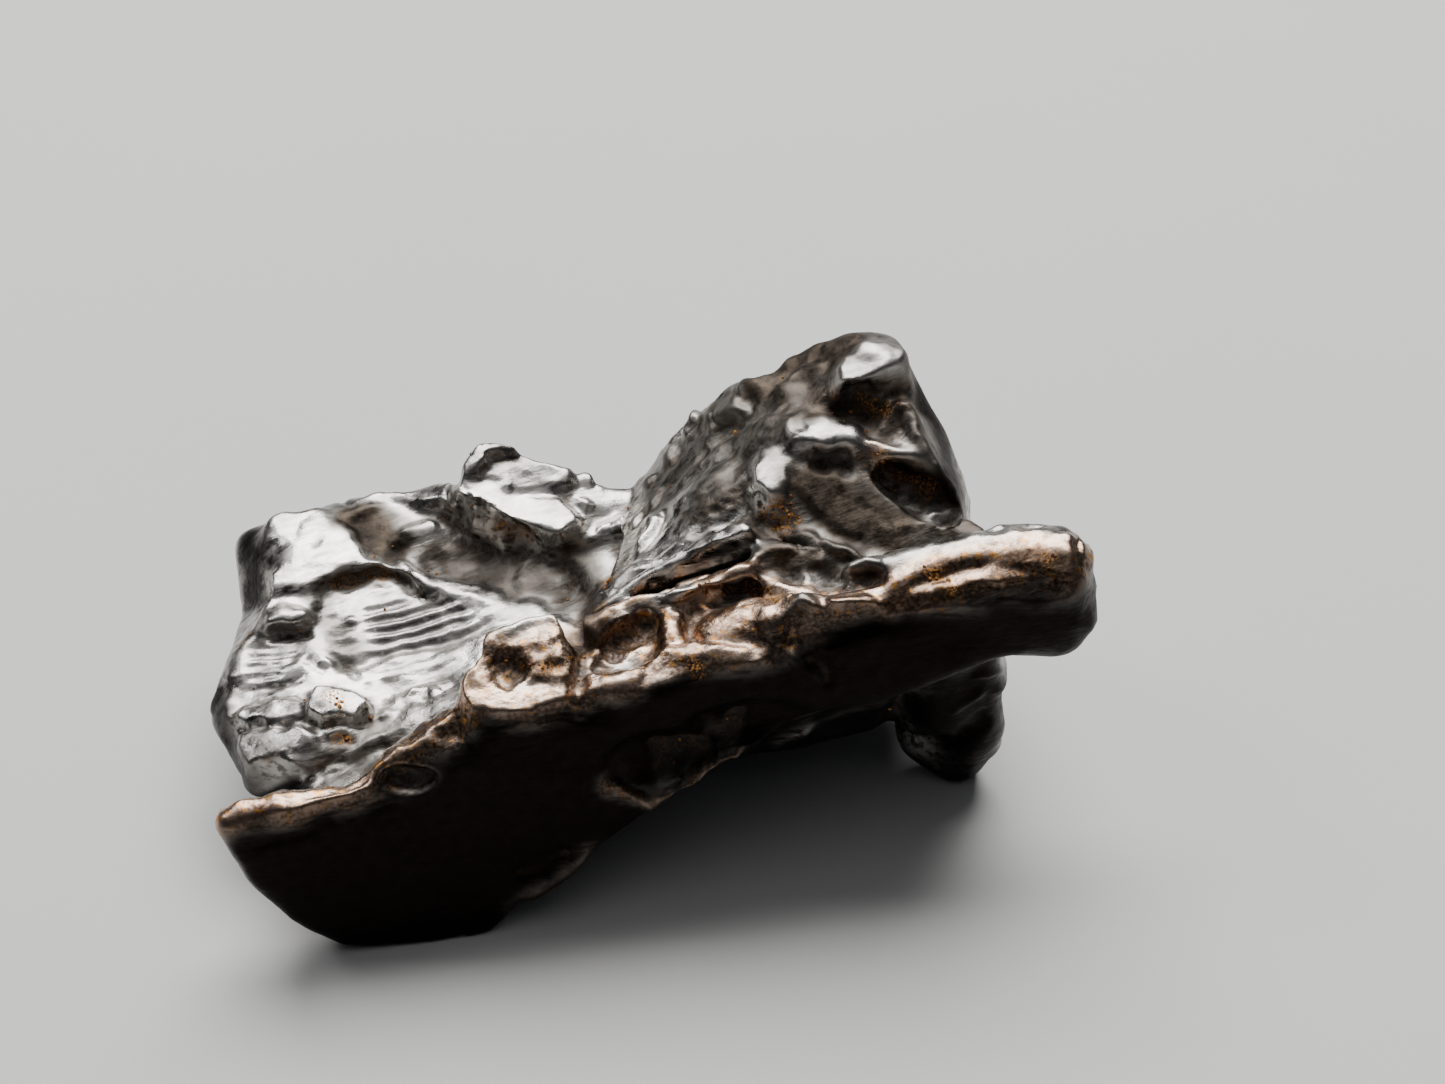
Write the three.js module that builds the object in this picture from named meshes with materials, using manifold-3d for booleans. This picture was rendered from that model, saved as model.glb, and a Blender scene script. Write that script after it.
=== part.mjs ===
// A small iron meteorite: one solid piece of nickel-iron about 25 mm long.
//
// It broke along its own crystal planes. A flat plate stands along the front and runs out
// to a square prong on the right. A terraced lobe lies low behind it on the left, and a
// steep tower rises behind it on the right. It is all one body: every block below is the
// same metal, fused with its neighbours, with the pits and hollows then cut out.
//
// Millimetres. +X runs along the length towards the prong, +Y towards the back and +Z up.
// The origin is under the middle of the stone, on the surface it rests on.

import * as THREE from 'three';
import { ConvexGeometry } from 'three/addons/geometries/ConvexGeometry.js';
import { mergeVertices } from 'three/addons/utils/BufferGeometryUtils.js';
import Module from 'manifold-3d';

const wasm = await Module();
wasm.setup();

// ---- Driving dimensions -------------------------------------------------------------

const WORN = 0.3;             // usual rounding of a worn corner
const ROUND = 0.6;            // rounding of a corner that is a small lump
const SOFT = 0.45;            // a corner with a larger radius gets a rounder ball
const LUMP_AROUND = 14;       // faces round a lump
const LUMP_UP = 9;            // and from its foot to its top
const MERGE = 1e-4;           // vertices closer than this are one
const FLOOR_DEPTH = 4;        // how far the cutting block reaches below the floor
const FLOOR_SIDE = 60;        // side of the cutting block

const PLATE_YAW = THREE.MathUtils.degToRad(12);   // the front plate turns away to the right
const PLATE_LEAN = THREE.MathUtils.degToRad(5);   // and leans back at the top
const PLATE_FOOT = new THREE.Vector3(-6.12, -6.62, 0);
const PLATE_THICK = 1.25;
const PLATE_WORN = 0.25;

// Deep points inside the metal, which the blocks around them share: [x, y, z, radius].
const LOBE_HEART = [-7.2, 1.6, 3.4, 1.2];
const REAR_HEART = [-3.2, 3.2, 3.6, 1.2];
const TOWER_HEART = [5.4, 3.2, 6.0, 1.4];
const FLANK_HEART = [1.6, 2.6, 4.6, 1.2];
const CREST_HEART = [-0.6, -2.2, 4.6, 1.0];

// ---- Ways to make a block, a lump and a cut -----------------------------------------

function toSolid(geometry) {
  geometry.deleteAttribute('normal');
  geometry.deleteAttribute('uv');
  const welded = mergeVertices(geometry, MERGE);
  return new wasm.Manifold(new wasm.Mesh({
    numProp: 3,
    vertProperties: new Float32Array(welded.attributes.position.array),
    triVerts: new Uint32Array(welded.index.array),
  }));
}

function toGeometry(solid) {
  const mesh = solid.getMesh();
  const geometry = new THREE.BufferGeometry();
  geometry.setAttribute('position', new THREE.BufferAttribute(mesh.vertProperties, 3));
  geometry.setIndex(new THREE.BufferAttribute(mesh.triVerts, 1));
  geometry.computeVertexNormals();
  return geometry;
}

// A worn block: the convex skin around a small ball at each corner. A corner is
// [x, y, z] or [x, y, z, radius], and is the highest point of its ball.
function block(corners, worn = WORN) {
  const skin = [];
  for (const [x, y, z, radius = worn] of corners) {
    const ball = new THREE.IcosahedronGeometry(radius, radius > SOFT ? 1 : 0);
    ball.translate(x, y, z - radius);
    const place = ball.attributes.position;
    for (let i = 0; i < place.count; i += 1) {
      skin.push(new THREE.Vector3().fromBufferAttribute(place, i));
    }
  }
  return toSolid(new ConvexGeometry(skin));
}

// A smooth lump or hollow: a ball of three half-widths, tipped about X, then turned about Z.
function lump([x, y, z], [width, depth, height], turn = 0, tip = 0) {
  const geometry = new THREE.SphereGeometry(1, LUMP_AROUND, LUMP_UP);
  geometry.scale(width, depth, height);
  geometry.rotateX(THREE.MathUtils.degToRad(tip));
  geometry.rotateZ(THREE.MathUtils.degToRad(turn));
  geometry.translate(x, y, z);
  return toSolid(geometry);
}

// A rounded bar along a run of corners.
function bar(corners, radius) {
  const pieces = [];
  for (let i = 1; i < corners.length; i += 1) {
    pieces.push(block([corners[i - 1], corners[i]], radius));
  }
  return fuse(pieces);
}

// Blocks that all meet in one deep point, one for each facet given as a list of corners.
function facets(heart, faces, worn = WORN) {
  return fuse(faces.map((corners) => block([...corners, heart], worn)));
}

function fuse(solids) {
  return solids.reduce((whole, solid) => whole.add(solid));
}

function cut(whole, hollows) {
  return hollows.reduce((rest, hollow) => rest.subtract(hollow), whole);
}

// ---- The front plate, drawn flat and stood up ---------------------------------------

// Turns the plate's own frame (along it, up it, out of its face) into the stone's frame.
function plateFrame() {
  const along = new THREE.Vector3(Math.cos(PLATE_YAW), Math.sin(PLATE_YAW), 0);
  const out = new THREE.Vector3(
    Math.sin(PLATE_YAW) * Math.cos(PLATE_LEAN),
    -Math.cos(PLATE_YAW) * Math.cos(PLATE_LEAN),
    Math.sin(PLATE_LEAN),
  );
  const up = new THREE.Vector3().crossVectors(out, along);
  return new THREE.Matrix4().makeBasis(along, up, out).setPosition(PLATE_FOOT);
}

// A place on the plate: millimetres along it, up it and in from its face, as [x, y, z].
function onPlate(along, up, depth = 0) {
  return new THREE.Vector3(along, up, -depth).applyMatrix4(plateFrame()).toArray();
}

function frontPlate() {
  const outline = new THREE.Shape([
    [-5.1, 5.1], [-4.9, 4.2], [-4.5, 3.0], [-3.5, 1.4], [-2.1, 0.2], [0.0, -0.3],
    [2.0, 0.0], [2.9, 0.9], [4.0, 1.4], [5.0, 2.2], [6.8, 3.5],
    [9.1, 4.8], [11.1, 5.8], [13.4, 6.0], [16.4, 6.9], [17.6, 7.0],
    [17.6, 9.0], [13.5, 8.6], [10.8, 8.2], [8.1, 7.2], [4.3, 6.8], [2.1, 6.3],
    [1.0, 5.5], [-0.2, 5.1],
  ].map(([along, up]) => new THREE.Vector2(along, up)));
  const geometry = new THREE.ExtrudeGeometry(outline, {
    depth: PLATE_THICK - 2 * PLATE_WORN,
    bevelThickness: PLATE_WORN,
    bevelSize: PLATE_WORN,
    bevelOffset: -PLATE_WORN,
    bevelSegments: 2,
    steps: 1,
  });
  geometry.translate(0, 0, PLATE_WORN - PLATE_THICK);
  geometry.applyMatrix4(plateFrame());
  return toSolid(geometry);
}

// ---- The crest along the plate's top: a rim bar, three lumps, knuckles and the prong --

function crest() {
  const rimBar = bar([[-10.9, -6.8, 5.35], [-9.2, -6.4, 5.5], [-7.4, -5.9, 5.7]], 0.5);
  const rise = fuse([
    block([[-7.4, -5.9, 5.8], [-5.9, -4.8, 6.4], [-5.4, -5.6, 6.0], [-7.2, -5.4, 3.6]], SOFT),
    block([[-5.9, -4.8, 6.4], [-4.6, -4.2, 7.2], [-4.2, -5.2, 6.7], [-5.4, -5.6, 6.0],
      [-5.4, -4.8, 3.6]], SOFT),
  ]);
  return fuse([rimBar, rise, firstLump(), secondLump(), thirdLump(), knuckles(), prong()]);
}

function firstLump() {
  return block([
    [-4.3, -4.2, 7.7], [-3.8, -3.2, 8.2], [-2.5, -2.9, 8.4], [-2.2, -3.7, 8.1], [-2.3, -4.5, 7.6],
    [-4.0, -4.9, 7.3], [-4.2, -4.9, 6.0], [-2.2, -4.5, 6.2], CREST_HEART,
  ], 0.65);
}

// A basin between a slim upper ridge and a thick lower rim, with a bar across its middle.
function secondLump() {
  const upperRidge = [
    [-1.4, -3.0, 7.9], [-1.2, -2.2, 8.2], [-0.4, -1.9, 8.4], [1.4, -1.6, 8.8], [3.2, -1.0, 9.3],
  ];
  const lowerRim = [[-1.2, -4.2, 7.6], [0.2, -4.2, 7.7], [1.6, -3.7, 8.0], [3.3, -3.3, 8.3]];
  const floor = block([
    [-1.2, -2.4, 7.6], [-1.0, -4.0, 7.1], [1.4, -1.8, 8.1], [1.4, -3.8, 7.5], [3.0, -1.6, 8.4],
    [3.0, -3.4, 7.8],
    [2.6, -2.4, 5.6, 1.0], CREST_HEART,
  ], SOFT);
  return fuse([
    floor,
    bar(upperRidge, 0.38),
    bar(lowerRim, 0.62),
    bar([[0.8, -2.1, 8.5], [0.9, -3.2, 8.2]], 0.4),
  ]);
}

function thirdLump() {
  return block([
    [1.9, -2.6, 8.4], [3.2, -2.2, 8.9], [3.4, -2.9, 8.7], [2.2, -3.1, 8.3], [2.8, -2.6, 6.6, 1.0],
  ], SOFT);
}

// Small knots of metal between the third lump and the prong, with rough ground behind them.
function knuckles() {
  const ground = block([
    [3.4, -0.2, 9.2], [4.6, -0.5, 8.9], [3.4, -1.4, 8.9], [5.2, -1.6, 8.9], [6.6, -1.4, 9.0],
    [4.2, -2.6, 8.4],
    [4.8, -1.2, 6.6, 1.0],
  ]);
  return fuse([
    ground,
    block([[3.6, -2.9, 9.0], [4.0, -2.5, 9.2], [4.8, -2.6, 9.2], [4.4, -2.2, 7.6, 0.9]], 0.5),
    block([[5.2, -2.8, 9.4], [6.3, -2.6, 9.5], [5.8, -2.1, 8.0, 0.8]], SOFT),
    block([[5.7, -1.7, 9.7], [6.5, -1.6, 9.8], [6.2, -1.4, 8.0, 0.8]], 0.35),
  ]);
}

// A square-edged bar with a blunt, rounded end.
function prong() {
  return block([
    [6.8, -2.5, 9.5], [6.9, -1.3, 9.6], [9.8, -0.9, 10.1], [9.8, -2.0, 9.8],
    [11.4, -0.9, 10.1, 0.75], [11.5, -1.6, 9.8, 0.8], [11.8, -1.2, 9.2, 0.8],
    [11.45, -1.5, 8.15, 0.85], [10.1, -1.9, 7.8, 0.5], [7.0, -1.8, 7.6],
  ], 0.5);
}

// ---- The low lobe on the left -------------------------------------------------------

function leftLobe() {
  const tip = [-12.1, -0.5, 3.7, 0.45];
  const tipLow = [-10.8, -2.6, 3.0, 0.5];
  const ribEnd = [-9.5, -3.1, 3.8];
  const terraceLeft = [-11.8, 0.5, 4.35];
  const terraceRight = [-9.4, 0.2, 4.75];
  const grooveMid = [-7.8, -2.8, 4.1];
  const grooveEnd = [-5.4, -2.2, 4.9];
  const shelfLeft = [-10.6, 1.5, 5.25];
  const shelfRight = [-9.6, 1.5, 5.25];
  const knobLeft = [-10.3, 2.7, 5.9];
  const knobMid = [-9.3, 2.8, 5.9];
  const knobRight = [-8.0, 3.3, 5.9];
  const knobBackLeft = [-10.1, 4.6, 6.1];
  const knobBackRight = [-9.0, 4.9, 6.15];
  const blobTop = [-11.7, 5.2, 5.4, ROUND];
  const blobMid = [-11.5, 4.7, 4.6, ROUND];
  const blobLow = [-11.3, 3.4, 4.1, ROUND];
  const ridgeA = [-7.0, 3.0, 5.7];
  const ridgeB = [-5.8, 2.2, 5.55];
  const ridgeC = [-4.8, 1.8, 5.5];
  const ridgeD = [-3.3, 1.7, 5.4];
  const stepLeft = [-9.4, 2.4, 5.1];
  const stepMid = [-8.0, 2.4, 5.3];
  const stepRight = [-6.1, 2.1, 5.3];
  const facetLeft = [-9.2, 0.9, 4.85];
  const facetMid = [-7.8, 0.5, 4.75];
  const facetRight = [-5.7, 1.0, 5.0];
  const facetFar = [-3.8, 1.4, 5.35];
  const bandLeft = [-7.8, -0.8, 4.4];
  const bandMid = [-5.7, -0.35, 4.7];
  const bandRight = [-3.8, 0.3, 5.3];
  const rearLeft = [-8.6, 6.0, 5.95];
  const rearMid = [-7.2, 6.0, 6.1];
  const rearRight = [-6.0, 5.9, 6.6];
  const basinLeft = [-7.1, 4.2, 5.75];
  const basinMid = [-5.6, 3.6, 5.45];
  const basinRight = [-3.6, 3.1, 5.55];
  const ledgeLeft = [-5.8, 5.4, 5.8];
  const ledgeMid = [-4.2, 4.4, 5.6];
  const ledgeRight = [-2.5, 3.8, 5.65];

  const terraces = facets(LOBE_HEART, [
    [tip, tipLow, ribEnd, terraceRight, terraceLeft],
    [ribEnd, terraceRight, bandLeft, grooveMid],
    [terraceLeft, terraceRight, shelfLeft, shelfRight],
    [shelfLeft, shelfRight, knobLeft, knobMid],
    [terraceRight, facetLeft, facetMid, bandLeft],
    [facetLeft, facetMid, stepLeft, stepMid],
    [facetMid, facetRight, stepMid, stepRight],
    [facetRight, facetFar, stepRight, ridgeC],
    [bandLeft, bandMid, facetMid, facetRight],
    [bandMid, bandRight, facetRight, facetFar],
    [bandLeft, bandMid, grooveMid, grooveEnd],
    [bandMid, bandRight, grooveEnd],
  ]);
  const knob = facets(LOBE_HEART, [
    [knobLeft, knobMid, knobBackLeft, knobBackRight],
    [knobMid, knobRight, knobBackRight],
    [blobTop, blobMid, blobLow, knobLeft, knobBackLeft],
    [terraceLeft, shelfLeft, blobLow],
    [blobTop, knobBackLeft, knobBackRight, rearLeft],
    [knobBackRight, knobRight, rearLeft, rearMid, basinLeft],
  ]);
  const ridge = facets(LOBE_HEART, [
    [knobRight, ridgeA],
    [ridgeA, ridgeB],
    [ridgeB, ridgeC],
    [ridgeC, ridgeD],
  ]);
  const basin = facets(LOBE_HEART, [
    [knobRight, ridgeA, basinLeft],
    [ridgeA, ridgeB, basinLeft, basinMid],
    [ridgeB, ridgeC, basinMid],
    [ridgeC, ridgeD, basinMid, basinRight],
    [basinLeft, basinMid, rearMid, ledgeLeft],
    [rearMid, rearRight, ledgeLeft],
    [basinMid, basinRight, ledgeLeft, ledgeMid],
    [basinRight, ledgeMid, ledgeRight],
  ]);
  const wart = lump([-8.5, -1.7, 4.2], [0.9, 0.8, 0.7]);
  return fuse([terraces, knob, ridge, basin, wart]);
}

// ---- The peak behind the lobe, a worn ring around a hollow, and the saddle beside it --

function rearPeak() {
  const ringWest = [-5.2, 4.8, 7.5];
  const ringNorth = [-4.7, 5.6, 8.3];
  const ringNorthEast = [-3.7, 5.6, 8.0];
  const ringEast = [-2.4, 5.3, 7.4];
  const ringFar = [-1.6, 5.2, 7.1];
  const ringSouthEast = [-1.5, 4.3, 6.8];
  const ringSouth = [-2.7, 3.6, 6.7];
  const ringSouthWest = [-3.9, 4.1, 7.0];
  const saddleBack = [0.0, 5.4, 6.7];
  const saddleMid = [-1.0, 4.0, 6.3];
  const saddleRight = [0.4, 4.1, 6.5];
  const saddleFront = [-0.1, 3.2, 6.1];
  const valleyLow = [-1.8, 2.0, 5.4];
  const valleyHigh = [-1.1, 2.0, 6.0];

  const floor = facets(REAR_HEART, [
    [[-4.7, 4.8, 7.0], [-3.9, 5.2, 7.2], [-2.6, 4.9, 6.9], [-2.7, 4.2, 6.7], [-3.9, 4.4, 6.8]],
    [ringEast, ringFar, ringSouthEast, [-2.6, 4.4, 6.7]],
    [ringFar, ringSouthEast, saddleBack, saddleMid],
    [saddleBack, saddleMid, saddleRight, saddleFront],
    [ringSouthEast, saddleMid, ringSouth, [-2.5, 3.3, 5.9]],
    [[-2.5, 3.3, 5.9], saddleMid, saddleFront, valleyLow, valleyHigh],
    [[-2.5, 3.3, 5.9], [-3.6, 2.8, 5.8], [-3.3, 1.5, 5.5], valleyLow],
    [[-3.3, 1.5, 5.5], valleyLow, [-3.8, 0.3, 5.2], [-1.6, 0.0, 5.6]],
  ]);
  const ring = facets(REAR_HEART, [
    [ringWest, ringNorth],
    [ringNorth, ringNorthEast],
    [ringNorthEast, ringEast],
    [ringSouthEast, ringSouth],
    [ringSouth, ringSouthWest],
    [ringSouthWest, ringWest],
    [[-6.0, 5.8, 6.6], ringWest, [-5.8, 6.2, 6.0]],
  ], 0.35);
  return fuse([floor, ring]);
}

// ---- The tower on the right ---------------------------------------------------------

function tower() {
  const peakFront = [6.4, 4.0, 12.6, ROUND];
  const peakRight = [7.0, 4.2, 12.5, 0.5];
  const peakLeft = [5.8, 3.4, 11.9, 0.5];
  const peakBack = [5.8, 5.3, 12.3, 0.5];
  const peakBackRight = [6.8, 5.0, 12.4, 0.5];
  const crestA = [4.5, 5.5, 11.5, 0.45];
  const crestB = [3.6, 5.6, 11.0, 0.45];
  const crestC = [2.6, 5.7, 10.2, 0.45];
  const crestD = [1.5, 5.9, 9.1, 0.45];
  const crestE = [0.6, 5.6, 7.8, 0.45];
  const crestF = [0.1, 5.3, 7.0, 0.45];
  const rightHigh = [7.4, 3.9, 11.2, 0.4];
  const rightMid = [8.2, 3.9, 9.8, 0.5];
  const rightLow = [8.7, 3.6, 8.8, 0.5];
  const notchLeft = [5.2, 3.2, 11.4];
  const notchLow = [5.9, 2.6, 10.9];
  const notchRight = [7.1, 3.2, 11.2];
  const ridgeA = [7.2, 3.0, 11.7];
  const ridgeB = [7.5, 2.5, 11.2];
  const ridgeC = [7.9, 1.9, 10.8];
  const ridgeD = [8.4, 1.3, 10.2];
  const ridgeE = [8.7, 0.9, 9.6];
  const branchA = [6.1, 2.0, 11.0];
  const branchB = [6.9, 1.8, 10.9];
  const bumpTop = [4.8, 2.3, 11.3, 0.5];
  const bumpRight = [5.5, 1.8, 11.0, 0.4];
  const bumpLeft = [4.2, 2.3, 10.9, 0.45];
  const noseTop = [3.7, 1.9, 10.8, 0.5];
  const noseFoot = [3.6, 1.0, 10.0, 0.5];
  const noseRight = [4.2, 1.4, 10.5, 0.4];
  const facetLeftTop = [4.5, 1.4, 10.4];
  const facetRightTop = [6.6, 1.7, 10.4];
  const facetRightLow = [7.4, 0.0, 9.3];
  const facetLeftLow = [4.6, 0.1, 9.2];
  const facetLow = [6.0, -0.5, 9.0];
  const flankA = [3.1, 2.0, 10.0];
  const flankB = [2.0, 1.6, 9.3];
  const flankC = [1.1, 1.2, 8.5];
  const flankD = [0.2, 0.7, 8.0];
  const flankE = [-0.8, 0.2, 7.3];
  const backHigh = [5.2, 6.4, 9.0, 0.6];
  const backRight = [8.0, 5.6, 8.0, 0.7];
  const backLeft = [2.2, 6.7, 6.8, 0.7];
  const backLowRight = [8.4, 5.4, 4.4, 0.9];
  const backLowMid = [4.6, 6.7, 4.4, 0.9];
  const domeTop = [8.2, 0.5, 9.7];
  const domeRight = [9.1, 0.2, 9.5];
  const domeFar = [9.7, -0.4, 9.2];

  const top = facets(TOWER_HEART, [
    [peakFront, peakRight, peakLeft, peakBack, peakBackRight],
    [peakLeft, peakBack, crestA, notchLeft],
    [crestA, crestB, notchLeft, bumpLeft],
    [peakRight, peakBackRight, rightHigh],
    [rightHigh, rightMid, peakBackRight],
    [notchLeft, notchLow, notchRight],
    [notchLeft, notchLow, bumpTop],
    [rightHigh, notchRight, ridgeA],
    [bumpTop, bumpRight, bumpLeft],
    [noseTop, noseFoot, noseRight, bumpLeft],
    [crestB, noseTop, bumpLeft],
  ]);
  const rightSide = facets(TOWER_HEART, [
    [ridgeA, ridgeB, rightMid],
    [ridgeB, ridgeC, rightMid, rightLow],
    [ridgeC, ridgeD, rightLow],
    [ridgeD, ridgeE, rightLow],
    [branchA, branchB, ridgeC, notchLow, notchRight],
  ]);
  const back = facets(TOWER_HEART, [
    [peakBack, peakBackRight, backHigh],
    [peakBackRight, rightMid, backHigh, backRight],
    [rightMid, rightLow, backRight, backLowRight],
    [peakBack, crestA, backHigh],
    [crestA, crestB, crestC, backHigh, backLeft],
    [backHigh, backRight, backLowRight, backLowMid],
    [backHigh, backLeft, backLowMid],
    [crestC, crestD, backLeft],
    [rightLow, ridgeE, backLowRight, [9.2, 1.2, 6.0, 0.9]],
  ]);
  const front = facets(TOWER_HEART, [
    [facetLeftTop, facetLow, facetLeftLow],
    [facetLeftTop, facetRightTop, facetLow],
    [facetRightTop, facetRightLow, facetLow],
    [facetLeftTop, facetRightTop, bumpRight, branchA],
    [noseFoot, noseRight, facetLeftTop, facetLeftLow],
    [facetRightLow, [7.6, 1.8, 9.6], [8.3, 1.2, 9.3], domeTop],
    [domeTop, domeRight, domeFar, facetRightLow],
    [domeRight, domeFar, [9.0, 1.6, 8.0, 0.8]],
    [facetLow, facetRightLow, domeFar, [8.6, -1.2, 7.4, 1.0]],
  ]);
  const leftSide = facets(FLANK_HEART, [
    [crestB, crestC, noseTop, flankA],
    [crestC, crestD, flankA, flankB],
    [crestD, crestE, flankB, flankC],
    [crestE, crestF, flankC, flankD],
    [crestD, crestE, backLeft, [0.2, 6.2, 5.0, 0.8]],
    [crestE, crestF, [0.2, 6.2, 5.0, 0.8], [-1.0, 5.4, 5.4, 0.6]],
    [backLeft, [0.2, 6.2, 5.0, 0.8], backLowMid],
    [crestF, flankD, flankE, [-0.1, 3.2, 6.0]],
    [flankE, [-0.1, 3.2, 6.0], [-1.2, 1.8, 5.8], [-1.6, 0.0, 5.8]],
    [noseTop, noseFoot, flankA, [3.8, 0.2, 9.0]],
    [flankA, flankB, [3.6, 0.2, 9.0], [2.0, 0.4, 8.4]],
    [flankB, flankC, [2.0, 0.4, 8.4], [0.6, 0.2, 7.8]],
  ]);
  const pleats = fuse([
    facets(FLANK_HEART, [
      [[3.0, 0.0, 9.5], [1.6, 0.0, 8.9]],
      [[1.6, 0.0, 8.9], [0.2, -0.3, 8.3]],
      [[0.2, -0.3, 8.3], [-1.3, -1.0, 7.5]],
    ], 0.25),
    facets(CREST_HEART, [
      [[3.6, -0.7, 9.2], [1.6, -0.8, 8.5]],
      [[1.6, -0.8, 8.5], [-0.3, -1.2, 7.9]],
    ], 0.3),
  ]);
  return fuse([top, rightSide, back, front, leftSide, pleats]);
}

// ---- The body underneath, the back of the lobe and the places it stands on -----------

function underside() {
  const bellyLeft = [-4.0, -0.6, 2.6, 1.0];
  const bellyMid = [0.6, -0.2, 3.2, 1.0];
  const bellyRight = [6.2, 0.0, 4.2, 1.0];
  return fuse([
    block([[-6.8, -4.4, 3.6, 1.0], [-5.6, -3.4, 4.8, 0.8], [-2.6, -3.0, 6.0, 0.8], [2.0, -1.8, 6.8, 0.8],
      [-5.0, -4.0, 2.4, 1.0], [-2.6, -3.8, 3.0, 1.0], LOBE_HEART, CREST_HEART]),
    // low metal that joins the plate to the lobe, and a web behind its raised right half
    block([onPlate(-3.4, 3.6, 1.1), onPlate(0.8, 4.6, 1.1), onPlate(-1.5, 1.8, 1.0), [-8.8, -2.4, 3.4],
      [-5.6, -2.2, 4.2], LOBE_HEART]),
    block([onPlate(3.0, 3.0, 1.1), onPlate(5.6, 4.6, 1.1), onPlate(11.5, 7.4, 1.1), onPlate(8.5, 6.2, 1.1),
      CREST_HEART, [-0.6, -3.2, 5.4, 0.9], [3.0, -0.6, 6.0, 1.0]]),
    block([CREST_HEART, LOBE_HEART, REAR_HEART, FLANK_HEART, bellyLeft, bellyMid]),
    // the middle of the metal, where many blocks meet
    block([[-6.6, 1.2, 4.6, 1.0], [-5.5, 4.9, 5.1, 1.1], [-3.0, 3.4, 5.0, 1.0], [-3.0, 0.6, 4.8, 1.0],
      [-0.2, 2.4, 5.2, 1.0], [-0.6, 4.0, 5.4, 1.0], [1.4, 4.0, 5.6, 1.0], [-0.4, -3.0, 5.4, 1.0],
      [1.8, -2.0, 5.8, 1.0]]),
    block([CREST_HEART, FLANK_HEART, TOWER_HEART, bellyMid, bellyRight, [2.6, -2.2, 6.8, 0.8],
      [6.6, -1.6, 7.6, 0.8]]),
    block([REAR_HEART, FLANK_HEART, TOWER_HEART, bellyMid, [4.6, 6.7, 4.4, 0.9], [0.2, 6.0, 4.6, 0.8],
      [3.4, 5.2, 2.4, 1.1]]),
    block([LOBE_HEART, [-10.6, -0.6, 3.4, 0.8], [-9.6, -1.8, 3.0, 0.8], [-10.0, 2.4, 3.8, 0.9],
      [-8.0, -0.6, 2.4, 1.0], [-8.6, 2.8, 2.4, 1.1]]),
    lobeBack(),
    rightFoot(),
    backFeet(),
  ]);
}

function lobeBack() {
  const high = [[-10.2, 5.6, 5.5, 0.4], [-8.4, 6.4, 5.5, 0.4], [-6.0, 6.3, 6.0, 0.4], [-3.8, 6.0, 6.8, 0.4],
    [-1.6, 5.8, 6.2, 0.4]];
  const middle = [[-10.7, 5.1, 4.1, 0.8], [-8.2, 6.2, 4.0, 0.8], [-5.6, 6.3, 4.4, 0.8], [-3.2, 6.6, 4.8, 0.8],
    [-0.6, 6.2, 4.4, 0.8]];
  const low = [[-9.4, 3.8, 2.6, 1.0], [-7.6, 4.8, 2.2, 1.0], [-5.4, 4.8, 2.8, 1.0], [-3.4, 5.2, 2.8, 1.0],
    [-0.8, 4.8, 3.0, 1.0]];
  const hearts = [LOBE_HEART, LOBE_HEART, REAR_HEART, REAR_HEART];
  const pieces = [];
  for (let i = 1; i < high.length; i += 1) {
    const heart = hearts[i - 1];
    pieces.push(block([high[i - 1], high[i], middle[i - 1], middle[i], heart]));
    pieces.push(block([middle[i - 1], middle[i], low[i - 1], low[i], heart]));
  }
  return fuse(pieces);
}

// The small lobe under the prong, which reaches the floor.
function rightFoot() {
  const shank = block([
    [9.4, -0.9, 6.6, 0.6], [8.2, -1.0, 7.4, 0.8], [9.3, 1.2, 6.0, 0.9], [9.5, -0.3, 4.2, 0.7],
    [8.0, -0.2, 4.2, 1.0], [7.8, 2.6, 4.0, 1.0], TOWER_HEART,
  ]);
  const toe = block([
    [9.5, -0.3, 4.2, 0.7], [9.6, 0.1, 3.2, 0.9], [9.1, 0.6, 1.6, 0.9], [8.2, 0.8, 2.2, 0.9],
    [7.8, 1.8, 4.0, 1.0], [9.0, 1.8, 3.4, 0.9],
  ]);
  return fuse([shank, toe]);
}

function backFeet() {
  return fuse([
    block([[4.4, 4.8, 1.6, 1.0], [6.0, 4.4, 1.7, 1.0], [3.6, 5.6, 4.0, 1.2], [7.2, 5.0, 4.4, 1.2],
      [4.6, 2.8, 4.0, 1.2], TOWER_HEART]),
    block([[-8.2, 3.4, 1.7, 1.0], [-7.0, 3.6, 1.6, 1.0], [-9.2, 3.6, 4.0, 1.1], [-5.6, 4.2, 4.0, 1.2],
      [-6.8, 1.4, 3.6, 1.2]]),
  ]);
}

// ---- Hollows ------------------------------------------------------------------------

function hollows() {
  return [
    // the long dent in the plate's face, behind a raised lip
    lump(onPlate(6.9, 5.1), [1.7, 0.6, 1.1], 12, -5),
    lump(onPlate(9.2, 6.0), [2.0, 0.5, 0.8], 12, -5),
    // the pits between the lumps of the crest
    lump([-3.5, -4.2, 8.1], [0.7, 0.55, 0.7]),
    lump([-0.3, -3.0, 8.2], [0.7, 0.5, 0.6]),
    lump([5.9, -2.2, 9.8], [0.5, 0.35, 0.5], 12),
    lump([-6.2, -6.0, 5.6], [0.9, 0.5, 0.35], 12),
    // the hollow under the tower's peak, the long one under its ridge and two small ones
    lump([6.2, 3.0, 11.4], [0.8, 0.5, 0.5]),
    bar([[6.9, 1.4, 10.7], [7.6, 1.0, 10.5], [8.4, 0.7, 10.1]], 0.58),
    lump([4.9, 1.3, 10.7], [0.6, 0.35, 0.3]),
    lump([3.8, 0.1, 9.5], [0.5, 0.45, 0.4]),
  ];
}

function floorBlock() {
  const geometry = new THREE.BoxGeometry(FLOOR_SIDE, FLOOR_SIDE, FLOOR_DEPTH);
  geometry.translate(0, 0, -FLOOR_DEPTH / 2);
  return toSolid(geometry);
}

// ---- The stone ----------------------------------------------------------------------

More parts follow.
